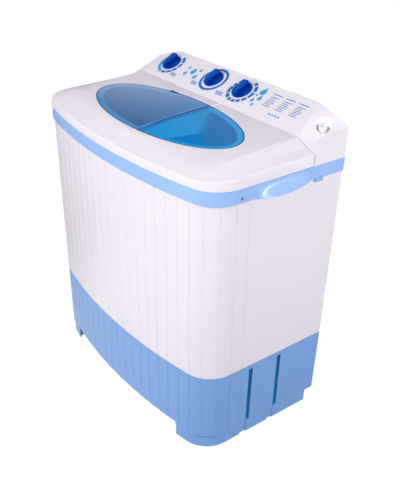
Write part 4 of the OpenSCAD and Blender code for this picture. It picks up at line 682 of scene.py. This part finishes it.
def number_mesh(name, numbers):
    shape = bmesh.new()
    for text, x, v in numbers:
        letters = bpy.data.curves.new(name, "FONT")
        letters.body = text
        letters.size = NUMBER_H
        letters.extrude = INK_OVER
        letters.align_x = "CENTER"
        letters.align_y = "CENTER"
        holder = bpy.data.objects.new(name, letters)
        flat = bpy.data.meshes.new_from_object(holder)
        flat.transform(PANEL @ Matrix.Translation((x, v, 0.0)))
        shape.from_mesh(flat)
        bpy.data.objects.remove(holder)
        bpy.data.meshes.remove(flat)
        bpy.data.curves.remove(letters)
    return mesh_of(shape, name)


def round_dial(texts, x):
    """Plain numbers round a dial, from the top and clockwise."""
    return [(text, x + NUMBER_R * math.sin(NUMBER_TURN * i),
             KNOB_V + NUMBER_R * math.cos(NUMBER_TURN * i)) for i, text in enumerate(texts)]


wash_x, selector_x, spin_x = (middle_x(knob) for knob in KNOBS)
light_marks = [arc_band(wash_x, *WASH_ARC)] + [drop(*mark) for mark in DROPS] + [
    bar(DASH_AT[0] + DASH_PITCH * i, DASH_AT[1], *DASH_SIZE) for i in range(DASHES)]
dark_marks = [arc_band(x, *radii, *span) for x, radii, spans in (
    (selector_x, SELECTOR_RING_R, SELECTOR_RING_HALVES), (wash_x, WASH_SEGMENT_R, WASH_SEGMENTS),
    (spin_x, SPIN_SEGMENT_R, SPIN_SEGMENTS)) for span in spans]
for x, width in DIAL_LINES:
    for row in range(DIAL_LINE_ROWS):
        dark_marks.append(bar(x + DIAL_LINE_INDENT * row, DIAL_LINES_V - DIAL_LINE_DROP * row,
                              width, LINE_H))
for x in COLUMN_X:
    dark_marks.append(bar(x, COLUMN_HEAD_V, COLUMN_HEAD_W, LINE_H))
    for row in range(COLUMN_ROWS):
        dark_marks.append(bar(x + COLUMN_INDENT, COLUMN_V - COLUMN_DROP * row,
                              COLUMN_WIDTHS[row % len(COLUMN_WIDTHS)], COLUMN_LINE_H))
light_ink = plastic("light_ink", LIGHT_INK, INK_ROUGHNESS, shine=INK_SHINE, grain=INK_GRAIN)
dark_ink = plastic("dark_ink", DARK_INK, INK_ROUGHNESS, shine=INK_SHINE, grain=INK_GRAIN)
dial_numbers = round_dial(WASH_NUMBERS, wash_x) + round_dial(SPIN_NUMBERS, spin_x)
for name, data, material in (
        ("panel_print_light", ink_mesh("panel_print_light", light_marks), light_ink),
        ("panel_print_dark", ink_mesh("panel_print_dark", dark_marks), dark_ink),
        ("dial_numbers", number_mesh("dial_numbers", dial_numbers), dark_ink)):
    data.materials.append(material)
    piece = bpy.data.objects.new(name, data)
    scene.collection.objects.link(piece)
    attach(piece, "body")

# ---- tubs, basket and water fittings ----
# The inner mouldings are duller white plastic: the deck with both tubs, the spin basket, the valve
# box and the pipes. The inlet cup in the console and the nozzle in it get a lighter copy of the
# white, painted light that lifts the shade in the cup's hollow. The pulsator, the filter cover and the
# press disc are light blue like the band.
PLAIN_CREASE = 32.0
INNER_TONES = ((0.80, 0.80, 0.83), (0.74, 0.74, 0.78))
INNER_ROUGHNESS = 0.42
# A lighter copy of the white plastic, painted light that lifts the shade in the inlet cup.
LIGHTENED_FITTING_TONES = ((0.92, 0.91, 0.93), (0.90, 0.89, 0.91))
FITTING_ROUGHNESS = 0.38
white_inner = plastic("white_inner_moulding", INNER_TONES, INNER_ROUGHNESS)
lightened_fitting = plastic("lightened_fitting", LIGHTENED_FITTING_TONES, FITTING_ROUGHNESS)
dress(white_inner, PLAIN_CREASE, "twin_tub", "spin_tub", "inlet_pipe", "drain_valve_box",
      "drain_valve_cap", "drain_spigot", "spin_basket")
dress(lightened_fitting, PLAIN_CREASE, "inlet_cup", "inlet_nozzle")
dress(sky_moulding, PLAIN_CREASE, "overflow_cover", "pulsator", "press_disc")

# ---- timers, switches and buzzer ----
# Black plastic housings under the console: the two clockwork timers, the selector's switch, the
# switch that the spin lid works, and the buzzer.
BLACK_TONES = ((0.045, 0.045, 0.050), (0.030, 0.030, 0.035))
BLACK_ROUGHNESS = 0.45
black_plastic = plastic("black_plastic", BLACK_TONES, BLACK_ROUGHNESS)
dress(black_plastic, PLAIN_CREASE, "wash_timer", "selector_switch", "spin_timer", "lid_switch",
      "buzzer")

# ---- feet, rear cover, screws and pins ----
# Soft black rubber feet and cord gland, a rear cover pressed from zinc coated sheet, and the bright
# steel screws and pins that hold the cover, the band and the lids.
STREAK_SCALE = 6.0
STREAK_DETAIL = 4.0
STREAK_ROUGHNESS = 0.12
STREAK_STRENGTH = 0.2
STREAK_HEIGHT = 0.00003
DRAWN = (40.0, 40.0, 400.0)
ZINC_TONES = ((0.62, 0.63, 0.65), (0.50, 0.51, 0.53))
ZINC_ROUGHNESS = 0.38
STEEL_TONES = ((0.66, 0.66, 0.68), (0.55, 0.55, 0.57))
STEEL_ROUGHNESS = 0.22
RUBBER_TONES = ((0.030, 0.030, 0.033), (0.020, 0.020, 0.022))
RUBBER_ROUGHNESS = 0.72
RUBBER_GRAIN = (1500.0, 0.00004)


def metal(name, tones, roughness, streaks=DRAWN):
    """A metal of two close tones in streaks, thinnest along the axis with the highest number."""
    material = begin(name)
    stretched = Wire.node("ShaderNodeMapping", None, {"Vector": place(), "Scale": streaks})
    lines = Wire.node("ShaderNodeTexNoise", None, {
        "Scale": STREAK_SCALE, "Detail": STREAK_DETAIL, "Vector": stretched})
    return finish(material, Wire.node("ShaderNodeBsdfPrincipled", None, {
        "Base Color": blend_colour(lines, *tones), "Metallic": 1.0,
        "Roughness": roughness + STREAK_ROUGHNESS * lines,
        "Normal": Wire.node("ShaderNodeBump", None, {
            "Strength": STREAK_STRENGTH, "Distance": STREAK_HEIGHT, "Height": lines})}))


zinc_sheet = metal("zinc_sheet", ZINC_TONES, ZINC_ROUGHNESS)
bright_steel = metal("bright_steel", STEEL_TONES, STEEL_ROUGHNESS)
black_rubber = plastic("black_rubber", RUBBER_TONES, RUBBER_ROUGHNESS, grain=RUBBER_GRAIN)
dress(zinc_sheet, PLAIN_CREASE, "rear_cover")
dress(bright_steel, PLAIN_CREASE, "rear_cover_screws", "band_screws", "hinge_pins")
dress(black_rubber, PLAIN_CREASE, "rubber_feet", "cord_gland")

# ---- wash drive ----
# Under the wash tub, a steel bracket carries an enamelled motor, which turns the pulsator's shaft by a
# belt between two cast pulleys. The shaft runs in a cast housing with a rubber seal, and the capacitor
# stands below in its metal can.
CAST = (60.0, 60.0, 60.0)
CAST_TONES = ((0.60, 0.61, 0.63), (0.48, 0.49, 0.51))
CAST_ROUGHNESS = 0.45
ENAMEL_TONES = ((0.070, 0.075, 0.085), (0.050, 0.055, 0.060))
ENAMEL_ROUGHNESS = 0.35
ENAMEL_COAT = 0.3
cast_alloy = metal("cast_alloy", CAST_TONES, CAST_ROUGHNESS, CAST)
motor_enamel = plastic("motor_enamel", ENAMEL_TONES, ENAMEL_ROUGHNESS, coat=ENAMEL_COAT)
dress(zinc_sheet, PLAIN_CREASE, "drive_bracket")
dress(bright_steel, PLAIN_CREASE, "bracket_screws", "pulsator_screw", "pulsator_shaft")
dress(cast_alloy, PLAIN_CREASE, "wash_bearing_housing", "big_pulley", "motor_pulley", "capacitor")
dress(black_rubber, PLAIN_CREASE, "wash_shaft_seal", "drive_belt")
dress(motor_enamel, PLAIN_CREASE, "wash_motor")

# ---- spin drive and brake ----
# A motor hung on three springs under the spin tub turns the basket's shaft, in a bronze bush and a
# rubber seal. A cable from the spin lid works a steel lever with a shoe on the cast brake drum.
BRONZE_TONES = ((0.66, 0.45, 0.20), (0.54, 0.36, 0.16))
BRONZE_ROUGHNESS = 0.35
bronze = metal("bronze", BRONZE_TONES, BRONZE_ROUGHNESS)
dress(zinc_sheet, PLAIN_CREASE, "motor_spider", "brake_bracket", "brake_lever")
dress(bright_steel, PLAIN_CREASE, "motor_springs", "spin_shaft", "brake_spring")
dress(cast_alloy, PLAIN_CREASE, "brake_drum")
dress(bronze, PLAIN_CREASE, "spin_bearing")
dress(black_rubber, PLAIN_CREASE, "water_seal", "brake_cable")
dress(motor_enamel, PLAIN_CREASE, "spin_motor")

# ---- drain ----
# The rubber hoses inside the cabinet and the rubber plunger of the drain valve. A coil of steel wire
# round the plunger's rod, under the valve's cap, pushes it on its seat, and in the machine is pressed
# together as the selector pulls the plunger up; here it is built at rest and rides on the body.
WIRE_R = 0.001
WIRE_SIDES = 8
COIL_R = 0.008
COIL_TURNS = 5
COIL_STEPS = 24
dress(black_rubber, PLAIN_CREASE, "drain_plunger", "drain_hose", "spin_drain_hose")
coil_low, coil_high = (Vector(corner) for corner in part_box("valve_spring"))
coil_axis = (coil_low + coil_high) / 2.0
coil_foot = coil_low.z + WIRE_R
coil_rise = coil_high.z - coil_low.z - 2.0 * WIRE_R
coil_end = COIL_TURNS * COIL_STEPS
coil = bmesh.new()
rings = []
for step in range(coil_end + 1):
    turn = math.tau * step / COIL_STEPS
    out = Vector((math.cos(turn), math.sin(turn), 0.0))
    heart = Vector((coil_axis.x, coil_axis.y, coil_foot + coil_rise * step / coil_end)) + out * COIL_R
    ring = []
    for side in range(WIRE_SIDES):
        roll = math.tau * side / WIRE_SIDES
        ring.append(coil.verts.new(
            heart + WIRE_R * (math.cos(roll) * out + math.sin(roll) * Vector((0.0, 0.0, 1.0)))))
    rings.append(ring)
for below, above in zip(rings, rings[1:]):
    for side in range(WIRE_SIDES):
        other = (side + 1) % WIRE_SIDES
        coil.faces.new((below[side], below[other], above[other], above[side]))
wire_ends = [coil.faces.new(rings[0][::-1]), coil.faces.new(rings[-1])]
bmesh.ops.recalc_face_normals(coil, faces=coil.faces)
for face in coil.faces:
    face.smooth = face not in wire_ends
coil_mesh = mesh_of(coil, "valve_spring_coil")
coil_mesh.materials.append(bright_steel)
valve_spring_coil = bpy.data.objects.new("valve_spring_coil", coil_mesh)
scene.collection.objects.link(valve_spring_coil)
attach(valve_spring_coil, "body")
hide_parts("valve_spring")
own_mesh(valve_spring_coil)
